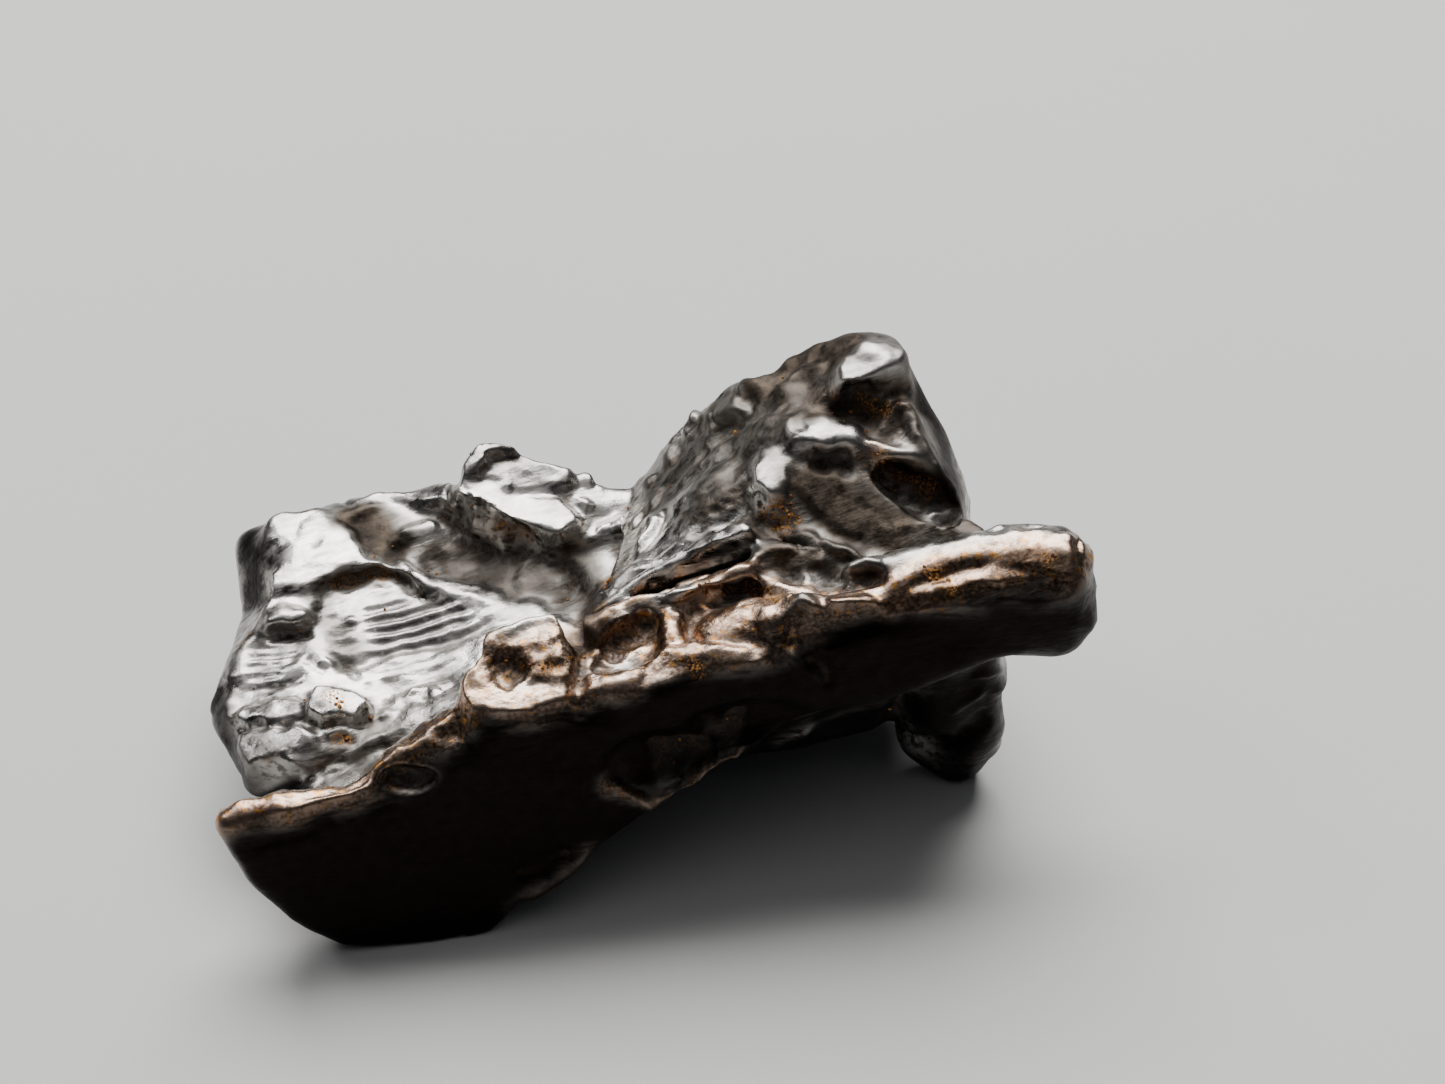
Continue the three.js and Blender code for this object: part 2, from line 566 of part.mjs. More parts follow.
function meteorite() {
  const rough = fuse([frontPlate(), crest(), leftLobe(), rearPeak(), tower(), underside()]);
  const stone = cut(rough, [...hollows(), floorBlock()]);
  const iron = new THREE.MeshStandardMaterial({ color: '#4a4642', roughness: 0.38, metalness: 1.0 });
  const mesh = new THREE.Mesh(toGeometry(stone), iron);
  mesh.name = 'meteorite';
  return mesh;
}

const model = new THREE.Group();
model.add(meteorite());

export default model;
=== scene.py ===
# %% [markdown]
# # An iron meteorite, about 25 mm long
# The object is one lump of nickel iron, torn to shape as it fell and polished since by wind and
# by hands. A thin plate stands along its front, a low lobe with a basin lies at the left, and a
# tall horn rises behind. Its rough shape comes ready as a faceted solid. Here that solid becomes
# worn metal: rounded, carved with its ridges and pits, roughened and given its skin. It could be
# sculpted by hand, but strokes written as numbers can be run again and changed one by one.

# %% Load the imported part
import math

import bpy
import numpy as np
from mathutils import Matrix, Vector
from mathutils.bvhtree import BVHTree


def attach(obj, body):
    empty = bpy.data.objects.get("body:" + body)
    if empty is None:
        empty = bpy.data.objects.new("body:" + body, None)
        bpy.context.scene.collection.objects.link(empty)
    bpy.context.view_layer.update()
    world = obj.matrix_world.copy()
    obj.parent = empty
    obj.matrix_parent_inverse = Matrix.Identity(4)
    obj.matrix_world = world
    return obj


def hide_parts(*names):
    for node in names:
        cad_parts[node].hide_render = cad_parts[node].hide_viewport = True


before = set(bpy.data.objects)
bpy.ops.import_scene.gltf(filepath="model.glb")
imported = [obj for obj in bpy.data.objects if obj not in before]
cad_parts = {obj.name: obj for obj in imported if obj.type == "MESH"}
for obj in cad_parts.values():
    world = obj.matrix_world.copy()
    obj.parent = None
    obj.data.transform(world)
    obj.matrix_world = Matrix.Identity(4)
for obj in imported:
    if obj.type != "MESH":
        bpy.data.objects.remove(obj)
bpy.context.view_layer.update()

NODE, BODY, SLOT = "meteorite", "root", "iron"

# %% [markdown]
# ## Units and colours
# The stone is only 25 mm long, so it is carved at a thousand times its size, where one unit is
# one millimetre, and shrunk back at the end. Colours are written as the hex values a painter would
# read off a screen, and one function turns them into the linear light that shaders add up.

# %% Units and a colour helper
MM = 0.001


def linear(hex_colour):
    """A screen colour such as '#8c8a86' as linear red, green, blue and alpha."""
    parts = [int(hex_colour[i:i + 2], 16) / 255 for i in (1, 3, 5)]
    return [c / 12.92 if c <= 0.04045 else ((c + 0.055) / 1.055) ** 2.4 for c in parts] + [1.0]


print("mid grey in linear light:", [round(c, 3) for c in linear("#808080")])

# %% [markdown]
# ## The camera first
# Carving goes better from a fixed seat. The camera looks along +Y and down at 38 degrees, from
# 92 mm away, which is how such a small thing is looked at on a table. A long lens keeps the
# near plate from swelling. Its place is worked out first because the carving strokes below are
# given as seen from it.

# %% Camera
AIM = Vector((2.25, 4.5, 5.5))
DISTANCE = 92.0
LOOK_DOWN = math.radians(38)
LENS, SENSOR = 78, 36
FORWARD = Vector((0, math.cos(LOOK_DOWN), -math.sin(LOOK_DOWN)))
RIGHT = Vector((1, 0, 0))
UP = RIGHT.cross(FORWARD)
EYE = AIM - FORWARD * DISTANCE


def placed(name, data, at, along):
    """A camera or lamp that stands at a place, in metres, and looks along a direction."""
    made = bpy.data.objects.new(name, data)
    made.location = at
    made.rotation_mode = "QUATERNION"
    made.rotation_quaternion = along.to_track_quat("-Z", "Y")
    bpy.context.collection.objects.link(made)
    return made


camera_data = bpy.data.cameras.new("camera")
camera_data.lens, camera_data.sensor_width = LENS, SENSOR
camera_data.clip_start, camera_data.clip_end = 0.005, 5
bpy.context.scene.camera = placed("camera", camera_data, EYE * MM, FORWARD)
print("the eye is at", [round(v, 1) for v in EYE], "mm")

# %% [markdown]
# ## A finer skin of clay
# The solid has a few thousand large facets, too few to carve. Subdividing would keep their long
# thin shapes, so a voxel remesh lays an even grid of small faces over it instead, as if the block
# had been cast again in fine clay. The node's own mesh is loose triangles and is left alone, so a
# copy is merged first.

# %% Remesh a copy of the solid
VOXEL = 0.085
WELD_DISTANCE = 0.0001


def as_object(name, mesh):
    made = bpy.data.objects.new(name, mesh)
    bpy.context.collection.objects.link(made)
    return made


def baked(made):
    """The object with its modifiers worked in, on a plain mesh of its own."""
    graph = bpy.context.evaluated_depsgraph_get()
    mesh = bpy.data.meshes.new_from_object(made.evaluated_get(graph))
    made.modifiers.clear()
    made.data = mesh
    return made


def merged_copy(node):
    mesh = node.data.copy()
    mesh.transform(Matrix.Scale(1 / MM, 4) @ node.matrix_world)
    mesh.materials.clear()
    made = as_object("meteorite_skin", mesh)
    made.modifiers.new("weld", "WELD").merge_threshold = WELD_DISTANCE
    return baked(made)


stone = merged_copy(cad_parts[NODE])
remesh = stone.modifiers.new("remesh", "REMESH")
remesh.mode = "VOXEL"
remesh.voxel_size = VOXEL
remesh.adaptivity = 0
baked(stone)
print(len(stone.data.vertices), "points,", len(stone.data.polygons), "faces at", VOXEL, "mm")

# %% [markdown]
# ## Points as numbers
# With this many points, carving is quickest as arithmetic on whole arrays. These few helpers read
# the points, write them back, and smooth any value over the surface by letting each point move
# towards the average of its neighbours, which is what a wet thumb does to clay. The first use
# rounds the facets' edges off.

# %% Array helpers
STRENGTH, LAST_STRENGTH = 0.8, 0.5
ROUNDING = 0.25


def read(items, name, width=3, kind=float):
    """One property of many points, edges or values as an array with a row for each."""
    flat = np.empty(len(items) * width, dtype=kind)
    items.foreach_get(name, flat)
    return flat.reshape(-1, width)


def write_points(mesh, points):
    mesh.vertices.foreach_set("co", points.ravel())
    mesh.update()


def ramp(low, high, value):
    """0 below low, 1 above high, and a soft S between."""
    t = np.clip((value - low) / (high - low), 0, 1)
    return t * t * (3 - 2 * t)


links = read(stone.data.edges, "vertices", 2, np.int64)
degree = np.bincount(links.ravel(), minlength=len(stone.data.vertices))[:, None]


def smoothed(values, rounds):
    """Each value moved towards the average of its neighbours, gently in the last round."""
    for left in range(rounds, 0, -1):
        strength = STRENGTH if left > 1 else LAST_STRENGTH
        total = np.empty_like(values)
        for axis in range(values.shape[1]):
            total[:, axis] = np.bincount(
                links.ravel(), values[links[:, ::-1].ravel(), axis], minlength=len(values))
        values = values + strength * (total / degree - values)
    return values


def unit(vectors):
    return vectors / np.maximum(np.linalg.norm(vectors, axis=1), 1e-9)[:, None]


def rounds_for(reach):
    """How many rounds of smoothing carry a value this many millimetres."""
    return max(1, round((reach / VOXEL) ** 2 / STRENGTH))


write_points(stone.data, smoothed(read(stone.data.vertices, "co"), rounds_for(ROUNDING)))
print("edges rounded over about", ROUNDING, "mm in", rounds_for(ROUNDING), "rounds")

# %% [markdown]
# ## Nodes by one small helper
# Geometry Nodes and materials are both built from nodes. One helper adds a node, sets what it is
# given by name, and joins any socket it is handed, so that every tree below reads as a list of
# what goes into what. The others are that helper with one kind of node filled in.

# %% Node helpers
def add(tree, kind, sockets=None, **settings):
    """A new node. Sockets are given by name or number, as a value or as another node's output."""
    node = tree.nodes.new(kind)
    for name, value in settings.items():
        setattr(node, name, value)
    for key, value in (sockets or {}).items():
        if isinstance(value, bpy.types.NodeSocket):
            tree.links.new(value, node.inputs[key])
        else:
            node.inputs[key].default_value = value
    return node


def maths(tree, operation, *values, **settings):
    """The result of one sum on numbers."""
    sockets = dict(enumerate(values))
    return add(tree, "ShaderNodeMath", sockets, operation=operation, **settings).outputs[0]


def moved(tree, first, second, operation="ADD"):
    """The result of one sum on two vectors."""
    return add(tree, "ShaderNodeVectorMath", {0: first, 1: second}, operation=operation).outputs[0]


def scaled(tree, vector, factor):
    sockets = {0: vector, "Scale": factor}
    return add(tree, "ShaderNodeVectorMath", sockets, operation="SCALE").outputs[0]


def stored(tree, name):
    """A mask kept on the mesh, as a socket of a geometry tree."""
    node = add(tree, "GeometryNodeInputNamedAttribute", {"Name": name}, data_type="FLOAT")
    return node.outputs[0]


# %% Helpers for whole geometry trees
def geometry_tree(name, sizes):
    """A geometry tree with one named number for each size, and the sockets it is given."""
    tree = bpy.data.node_groups.new(name, "GeometryNodeTree")
    for way in ("INPUT", "OUTPUT"):
        tree.interface.new_socket("Mesh", in_out=way, socket_type="NodeSocketGeometry")
    for label, value in sizes.items():
        size = tree.interface.new_socket(label, in_out="INPUT", socket_type="NodeSocketFloat")
        size.default_value = value
    return tree, tree.nodes.new("NodeGroupInput").outputs


def ended(tree, mesh, material):
    """Every tree ends the same way: copies become real mesh, and the mesh gets its material."""
    real = add(tree, "GeometryNodeRealizeInstances", {0: mesh})
    dressed = add(tree, "GeometryNodeSetMaterial", {0: real.outputs[0], "Material": material})
    add(tree, "NodeGroupOutput", {0: dressed.outputs[0]})
    return tree


def grown(made, tree, values):
    """Run a geometry tree on an object with these sizes, and keep the result as a plain mesh."""
    modifier = made.modifiers.new(tree.name, "NODES")
    modifier.node_group = tree
    for item in tree.interface.items_tree:
        if item.in_out == "INPUT" and item.name in values:
            modifier[item.identifier] = float(values[item.name])
    return baked(made)


# %% [markdown]
# ## Crumpled metal
# No face of torn iron is flat. A noise swells and sinks the surface along its normals, and a
# second, creased noise adds dents with sharper borders between them. Displace modifiers could do
# as much, but one tree can be run twice with other sizes: here with broad ones before the carving,
# and once more with fine ones after it.

# %% Relief tree
SEED_STEP = (7.1, 3.3, 5.7)    # how far the pattern is shifted by each step of the seed
BEND = 0.9                     # how far a dent's border is bent, in dent sizes


def relief_tree(material):
    tree, given = geometry_tree("relief", {
        "Swell size": 2.0, "Swell height": 0.1, "Dent size": 1.0, "Dent depth": 0.05,
        "Everywhere": 1.0, "Seed": 1.0})
    place = add(tree, "GeometryNodeInputPosition").outputs[0]
    start = moved(tree, place, scaled(tree, SEED_STEP, given["Seed"]))
    swell = add(tree, "ShaderNodeTexNoise", {
        "Vector": start, "Scale": maths(tree, "DIVIDE", 1.0, given["Swell size"]),
        "Detail": 1.0, "Roughness": 0.4})
    centred = maths(tree, "SUBTRACT", swell.outputs[0], 0.5)
    raised = maths(tree, "MULTIPLY", centred, given["Swell height"])
    dent_scale = maths(tree, "DIVIDE", 1.0, given["Dent size"])
    bent = add(tree, "ShaderNodeTexNoise", {"Vector": start, "Scale": dent_scale})
    bend = scaled(tree, scaled(tree, bent.outputs[1], BEND), given["Dent size"])
    cells = add(tree, "ShaderNodeTexVoronoi", {
        "Vector": moved(tree, start, bend), "Scale": dent_scale, "Smoothness": 0.25},
        feature="SMOOTH_F1")
    border = maths(tree, "SUBTRACT", cells.outputs[0], 0.5)
    total = maths(tree, "ADD", raised, maths(tree, "MULTIPLY", border, given["Dent depth"]))
    share = maths(tree, "ADD", given["Everywhere"], stored(tree, "torn"))
    height = maths(tree, "MULTIPLY", total, share)
    normal = add(tree, "GeometryNodeInputNormal").outputs[0]
    lifted = add(tree, "GeometryNodeSetPosition", {
        "Geometry": given["Mesh"], "Offset": scaled(tree, normal, height)})
    return ended(tree, lifted.outputs[0], material)


iron = bpy.data.materials.new("polished_iron_with_oxide_and_painted_shade")
iron.use_nodes = True
relief = relief_tree(iron)
grown(stone, relief, {
    "Swell size": 2.6, "Swell height": 0.34, "Dent size": 1.7, "Dent depth": 0.06, "Seed": 3})
print("broad relief on", len(stone.data.vertices), "points")

# %% [markdown]
# ## No two outlines alike
# A stroke with an exact outline looks machined. A geometry tree stores a smooth random nudge at
# every point, and strokes measure their distance from the nudged places, so that each outline
# wanders a little. The nudges only bend these distances and move nothing by themselves.

# %% A wandering outline
WANDER = {"Wander size": 1.1, "Wander reach": 0.16, "Tremble size": 0.4, "Tremble reach": 0.08}


def wander_tree(material):
    tree, given = geometry_tree("wander", WANDER)
    place = add(tree, "GeometryNodeInputPosition").outputs[0]
    nudges = []
    for name in ("Wander", "Tremble"):
        scale = maths(tree, "DIVIDE", 1.0, given[name + " size"])
        noise = add(tree, "ShaderNodeTexNoise", {"Vector": place, "Scale": scale, "Detail": 0.0})
        centred = moved(tree, noise.outputs[1], (0.5, 0.5, 0.5), "SUBTRACT")
        reach = maths(tree, "MULTIPLY", 4.0, given[name + " reach"])
        nudges.append(scaled(tree, centred, reach))
    named = add(tree, "GeometryNodeStoreNamedAttribute", {
        "Geometry": given["Mesh"], "Name": "nudge", "Value": moved(tree, *nudges)},
        data_type="FLOAT_VECTOR", domain="POINT")
    return ended(tree, named.outputs[0], material)


grown(stone, wander_tree(iron), WANDER)
nudge_layer = stone.data.attributes["nudge"]
NUDGE = read(nudge_layer.data, "vector")
stone.data.attributes.remove(nudge_layer)
print("outlines wander by up to", round(float(np.abs(NUDGE).max()), 2), "mm")

# %% [markdown]
# ## Pressing a line onto the stone
# A stroke is a line of points as seen from the camera, in millimetres right of and above the
# middle of its view. A ray through each point finds where it meets the stone, so the stroke lies
# on the surface from every side. Curves with a Shrinkwrap modifier could do the same, but rays
# need no helper objects. A ray that just misses an edge is tried again in growing rings.

# %% Pressing a line onto the surface
STEP = 0.12
SOFT_NORMAL = 0.28
SEARCH_RINGS, SEARCH_TURNS = (0, 0.06, 0.12, 0.2, 0.3, 0.45, 0.6), 10
FACES = [tuple(p.vertices) for p in stone.data.polygons]


class Surface:
    """The stone as it is now: points, soft normals, and a tree that finds where rays meet it."""

    def __init__(self, mesh):
        self.points = read(mesh.vertices, "co")
        self.loose = self.points + NUDGE
        self.soft = unit(smoothed(read(mesh.vertex_normals, "vector"), rounds_for(SOFT_NORMAL)))
        self.tree = BVHTree.FromPolygons(self.points.tolist(), FACES)

    def seen(self, right, up):
        """Where the line of sight through that place on the view meets the stone."""
        for reach in SEARCH_RINGS:
            for turn in range(SEARCH_TURNS if reach else 1):
                a = turn * math.tau / SEARCH_TURNS
                across, above = right + reach * math.cos(a), up + reach * math.sin(a)
                through = AIM + RIGHT * across + UP * above
                place, _, face, _ = self.tree.ray_cast(EYE, (through - EYE).normalized())
                if face is not None:
                    return place, face
        raise ValueError(f"nothing to press on at {right}, {up}")

    def pressed(self, line):
        """The line as closely spaced places and soft normals on the stone."""
        met = []
        for start, end in zip(line, line[1:] or line):
            steps = max(1, math.ceil(math.dist(start, end) / STEP))
            for t in (i / steps for i in range(steps)):
                met.append(self.seen(*(a + (b - a) * t for a, b in zip(start, end))))
        places, faces = zip(*met, self.seen(*line[-1]))
        return np.array(places), self.soft_at(faces)

    def walked(self, course):
        """A line that starts at a point, sets out in a direction and keeps to the surface."""
        start, heading, length = course
        place, _, face, _ = self.tree.find_nearest(self.points[start])
        places, faces = [place], [face]
        for _ in range(max(1, round(length / STEP))):
            normal = Vector(self.soft_at([face])[0])
            heading = (heading - normal * heading.dot(normal)).normalized()
            place, _, face, _ = self.tree.find_nearest(place + heading * min(STEP, length))
            places.append(place)
            faces.append(face)
        return np.array(places), self.soft_at(faces)

    def soft_at(self, faces):
        return unit(np.array([self.soft[list(FACES[f])].mean(axis=0) for f in faces]))


surface = Surface(stone.data)
print("the middle of the view meets the stone at", [round(v, 2) for v in surface.seen(0, 0)[0]])

# %% [markdown]
# ## What each stroke does
# Around its line a stroke raises or sinks the surface, with a profile that names it: a round
# welt, a sharp crest, a groove, a crack, a ledge with one side high, a pit, a boss, or a flat
# face. For every point near by three things are measured: how far it is from the line, how far
# along the line it lies, and whether it faces the same way, so that a stroke on one side of a thin
# wall doesn't show on the other. A sculpting brush does the same sums under the hand.

# %% Stroke profiles
def dome(q):
    return (1 - q * q) ** 2


def tent(q):
    return (1 - q) ** 1.4


def bowl(q):
    """A dish with a low raised lip round it."""
    return 0.15 * ramp(0.6, 0.85, q) * (1 - ramp(0.85, 1, q)) - (1 - ramp(-0.3, 0.8, q))


PROFILES = {"welt": dome, "crest": tent, "groove": lambda q: -dome(q), "crack": lambda q: -tent(q),
            "pit": bowl, "boss": lambda q: 1 - ramp(0.25, 1, q)}


def rise_of(kind, q, side):
    """How high a profile stands at a distance q from the line, where 1 is its half width."""
    if kind == "ledge":
        return ramp(-0.16, 0.16, side) * (1 - ramp(0.2, 1, side))
    return PROFILES[kind](np.clip(q, 0, 1))


print("profiles:", ", ".join(PROFILES), "and ledge")

# %% Measuring from a line
EVENING_ROUNDS = 24


def nearest_on_line(points, places):
    """For each point: its distance to the line, the nearest segment, and its place along that."""
    start, span = places[:-1], np.diff(places, axis=0)
    length = np.maximum((span ** 2).sum(axis=1), 1e-12)
    offset = points[:, None, :] - start[None]
    along = np.clip((offset * span[None]).sum(axis=2) / length, 0, 1)
    apart = np.linalg.norm(offset - along[..., None] * span[None], axis=2)
    segment = apart.argmin(axis=1)
    rows = np.arange(len(points))
    return apart[rows, segment], segment, along[rows, segment]


def near_to(places, width):
    """The numbers of the points in a box round the line, with this much room on all sides."""
    low, high = places.min(axis=0) - width, places.max(axis=0) + width
    return np.flatnonzero(((surface.loose > low) & (surface.loose < high)).all(axis=1))


def leaning(forward, right):
    """The direction of a face that is level at 0, 0, and leans these degrees forward and right."""
    out = np.array([[math.tan(math.radians(right)), -math.tan(math.radians(forward)), 1.0]])
    return unit(out)[0]


def evened(places):
    """A line with its small bumps taken out, so that a face laid along it comes out flat."""
    for _ in range(EVENING_ROUNDS):
        inner = (places[:-2] + 2 * places[1:-1] + places[2:]) / 4
        places = np.vstack([places[:1], inner, places[-1:]])
    return places


print("a face that leans 45 degrees forward looks along", leaning(45, 0).round(2))

# %% One stroke, and a list of them
RUN_OUT = 0.2        # the share of a line over which each end fades
BOLD = 0.5           # a stroke wider than this wanders in full, a finer one less
FLAT_SHARE = 0.5     # the inner share of a face that is fully planed
FULL_FACING = 0.45   # how far a point must face a stroke's way to be moved in full
SOFTENING = 0.07


def stroke(kind, width, height, laid, *ends):
    """The nearby points of the stone, how far each one rises, and in which direction.
    A face is given how far it leans, any other stroke may be given how soon its ends run out."""
    places, normals = laid
    if kind == "face":
        places = evened(places)
    near = near_to(places, width)
    points = surface.points[near] + NUDGE[near] * min(1, width / BOLD)
    apart, segment, along = nearest_on_line(points, places)
    facing = (surface.soft[near] * normals[segment]).sum(axis=1)
    chosen = (apart < width) & (facing > 0)
    near, points, apart, segment, along, facing = (
        a[chosen] for a in (near, points, apart, segment, along, facing))
    nearest = places[segment] + along[:, None] * (places[segment + 1] - places[segment])
    if kind == "face":
        straight = leaning(*ends)
        above = ((surface.points[near] - nearest) * straight).sum(axis=1) - height
        return near, -above * (1 - ramp(FLAT_SHARE, 1, apart / width)), straight[None]
    run_out = ends[0] if ends else RUN_OUT
    if len(places) == 2 or run_out == 0:
        taper = 1.0
    else:
        course = (segment + along) / (len(places) - 1)
        taper = ramp(0, run_out, course) * ramp(0, run_out, 1 - course)
    left = np.cross(normals[segment], unit(places[segment + 1] - places[segment]))
    side = ((points - nearest) * left).sum(axis=1) / width
    rise = rise_of(kind, apart / width, side)
    direction = unit(surface.soft[near] + normals[segment])
    return near, height * rise * taper * ramp(0, FULL_FACING, facing), direction


def carve(strokes, soften=SOFTENING, lay=None):
    """Work a list of strokes into the stone one after another, then smooth it over this many mm."""
    global surface
    before = surface.points.copy()
    for kind, width, height, line, *more in strokes:
        laid = (lay or surface.pressed)(line)
        near, rise, direction = stroke(kind, width, height, laid, *more)
        surface.points[near] += rise[:, None] * direction
        surface.loose[near] += rise[:, None] * direction
    write_points(stone.data, smoothed(surface.points, rounds_for(soften)))
    deepest = np.linalg.norm(surface.points - before, axis=1).max()
    surface = Surface(stone.data)
    print(len(strokes), "strokes, deepest move", round(float(deepest), 2), "mm")


# %% [markdown]
# ## Strokes as tables
# More than two hundred strokes are easiest to read as plain tables, with one stroke a line: what
# it does, its half width and its height, any further numbers, then the places it runs through,
# right and up. Lengths are whole hundredths of a millimetre, so the lines stay short.

# %% Reading a table
def table(text):
    """A row for each line of text: its word, two sizes, the list of places, other numbers."""
    rows = []
    for words in map(str.split, text.strip().splitlines()):
        kind = [w for w in words if w.isalpha()]
        width, height, *more = (float(w) for w in words if "," not in w and not w.isalpha())
        places = [tuple(int(n) / 100 for n in w.split(",")) for w in words if "," in w]
        rows.append((*kind, width / 100, height / 100, places, *more))
    return rows


print("for example", table("pit 30 10 150,-25")[0])

# %% [markdown]
# ## Faces first
# A carver blocks in the planes before any detail. Level faces catch the light from behind and show
# bright, faces that lean towards the front stay dark, so the slope of each one matters more than
# its outline. A face stroke gives its half width, a lift, how many degrees it leans forward and
# right, and its middle line.

# %% Block in the faces of the left lobe and the rear crest
LOBE_FACES = table("""
face 125 15 9 0 -1259,35 -1153,-12
face 75 4 14 -4 -1294,-112 -1189,-100
face 75 4 12 -4 -1318,-188 -1200,-179
face 55 10 8 4 -1095,-44 -1006,-53 -933,-73 -845,-129 -742,-176
face 120 0 14 0 -1006,-223 -830,-200 -698,-176
face 130 5 10 0 -1021,-382 -830,-323 -624,-253
face 70 0 18 0 -1139,-185 -1124,-288
face 40 -6 34 0 -1109,-341 -1021,-335
face 110 6 10 -5 -1374,-353 -1227,-335
face 80 2 16 -8 -1374,-435 -1227,-417
face 105 16 11 0 -1412,-511 -1253,-502
face 105 16 11 0 -1371,-602 -1242,-594
face 60 0 12 0 -1183,-464 -1089,-464
face 50 0 8 0 -1189,-547 -1109,-544
face 60 0 8 0 -992,-464 -830,-435
face 100 -26 42 25 -1036,65 -983,-3
face 100 -12 30 14 -860,-47 -654,-88 -492,-129
face 60 6 8 0 -936,26 -824,50
face 45 3 6 0 -1030,123 -824,132
face 105 18 11 2 -730,123 -624,97 -501,65
face 90 15 16 0 -639,200 -501,188
face 50 10 8 -6 -748,165 -739,235 -695,273
face 60 5 8 0 -378,35 -248,65
face 45 5 8 0 -234,-9 -195,65
""")

# %% [markdown]
# ## Faces of the horn and the ridge
# The horn is a leaning slab with one steep dark flank, and the ridge in front of it has a narrow
# level top. They are planed the same way, and all the faces are then softened together, more than
# the details later on, since the torn metal has no sharp edges between its planes.

# %% Block in the faces of the horn and the front ridge
FACE_SOFTENING = 0.13
HORN_AND_RIDGE_FACES = table("""
face 90 6 16 4 392,505 475,547
face 100 2 48 10 375,382 478,347
face 95 26 11 2 228,329 328,306
face 150 5 36 8 331,153 433,79
face 90 -5 36 -12 -1,88 75,123
face 40 10 14 -8 122,212 157,206
face 40 10 14 -8 122,159 163,153
face 60 10 10 -8 -19,364 57,406
face 55 8 10 -8 57,441 134,479
face 80 -5 40 0 433,18 536,6 698,35
face 40 10 10 0 592,71 686,85
face 60 0 18 20 698,47 786,38
face 50 6 10 0 -1403,-782 -1242,-758 -1059,-720
face 35 3 8 0 -968,-617 -836,-585
face 55 8 8 0 -654,-276 -501,-253
face 50 5 12 0 -730,-464 -595,-467 -489,-444
face 50 6 8 0 -378,-229 -228,-191
face 50 6 8 0 -101,-141 51,-88 134,-68
face 50 6 12 0 -395,-414 -237,-400
face 55 6 12 0 -172,-335 -66,-329 104,-338
face 90 -10 42 0 154,-41 228,-53 345,-71
face 60 12 10 0 216,-188 281,-194
face 40 8 8 0 322,-179 451,-185
face 50 6 9 0 507,-76 669,-24 815,0 962,9 1065,-29
face 50 0 33 0 536,-123 669,-79 815,-59 992,-59
face 60 0 45 0 536,-188 669,-165 815,-147 992,-153
""")
carve(LOBE_FACES + HORN_AND_RIDGE_FACES, FACE_SOFTENING)

# %% [markdown]
# ## The front ridge
# The top of the plate is a chain of knuckles: a smooth rim bar at the left, two lumps with a deep
# pit in each, a knot of torn metal, and a blunt prong at the right. Lines that cross and overlap
# make the knuckles here, because a noise would put its bumps where no knuckle is.

# %% Carve the rim, the two pitted lumps and the knot
RIM_AND_LUMPS = table("""
groove 34 9 -1430,-917 -1330,-890 -1212,-849 -1095,-799 -992,-767
welt 34 12 -1059,-708 -992,-658 -948,-629 -860,-579 -801,-532 -754,-470
groove 36 16 -1036,-694 -992,-676 -912,-696 -830,-676
welt 20 5 -971,-755 -904,-743 -830,-723
pit 26 10 -783,-573
pit 24 8 -736,-547
welt 32 14 -760,-476 -751,-411 -721,-338 -671,-282 -595,-244 -489,-229 -431,-288
pit 46 16 -674,-359
pit 50 22 -633,-347 -645,-382
pit 38 18 -639,-429
pit 45 16 -607,-406
pit 36 16 -533,-317
pit 36 16 -478,-356
pit 30 10 -525,-406
welt 32 12 -754,-453 -689,-494 -595,-488 -507,-470 -436,-461
groove 30 22 -433,-200 -419,-288 -413,-361 -419,-458
crack 22 14 -695,-517 -566,-508 -448,-505 -372,-517
welt 22 7 -654,-538 -566,-526 -478,-523 -401,-535
crest 34 18 -407,-323 -389,-253 -345,-209 -287,-185 -213,-170 -96,-141 -22,-112 51,-76 145,-53
groove 32 22 -172,-182 -66,-153 22,-144 134,-135
boss 34 12 -140,-217
boss 28 10 -60,-197
pit 80 34 -301,-303
pit 60 22 -237,-282
pit 40 16 -304,-347
welt 36 18 -419,-361 -389,-414 -316,-408 -242,-385 -169,-338 -66,-323 51,-332 122,-317
boss 36 12 -383,-385
boss 30 10 -160,-326
boss 30 8 -90,-311
crest 28 15 145,-253 198,-317 251,-370 298,-408
groove 42 18 237,-288 292,-353 339,-417
boss 52 26 237,-194
welt 27 20 0.1 298,-185 375,-173 454,-179
welt 22 12 0.1 375,-71 422,-53 469,-65
groove 28 20 298,-120 360,-109 419,-120 486,-97
pit 40 18 187,-53
pit 36 16 228,-18
pit 34 16 345,-53
groove 30 16 140,-41 198,-88 228,-126
groove 26 14 304,-126 339,-82 363,-29
boss 26 14 251,-112
boss 26 14 284,-56
boss 24 12 307,-12
pit 24 16 222,-150
pit 22 14 263,-82
pit 22 14 322,-38
""")

# %% [markdown]
# ## The prong and the face of the plate
# A crack runs along the prong's top, and the plate under it is smooth but for a few long, low
# ridges, as if the melt had run down it. Few and faint strokes keep it calm.

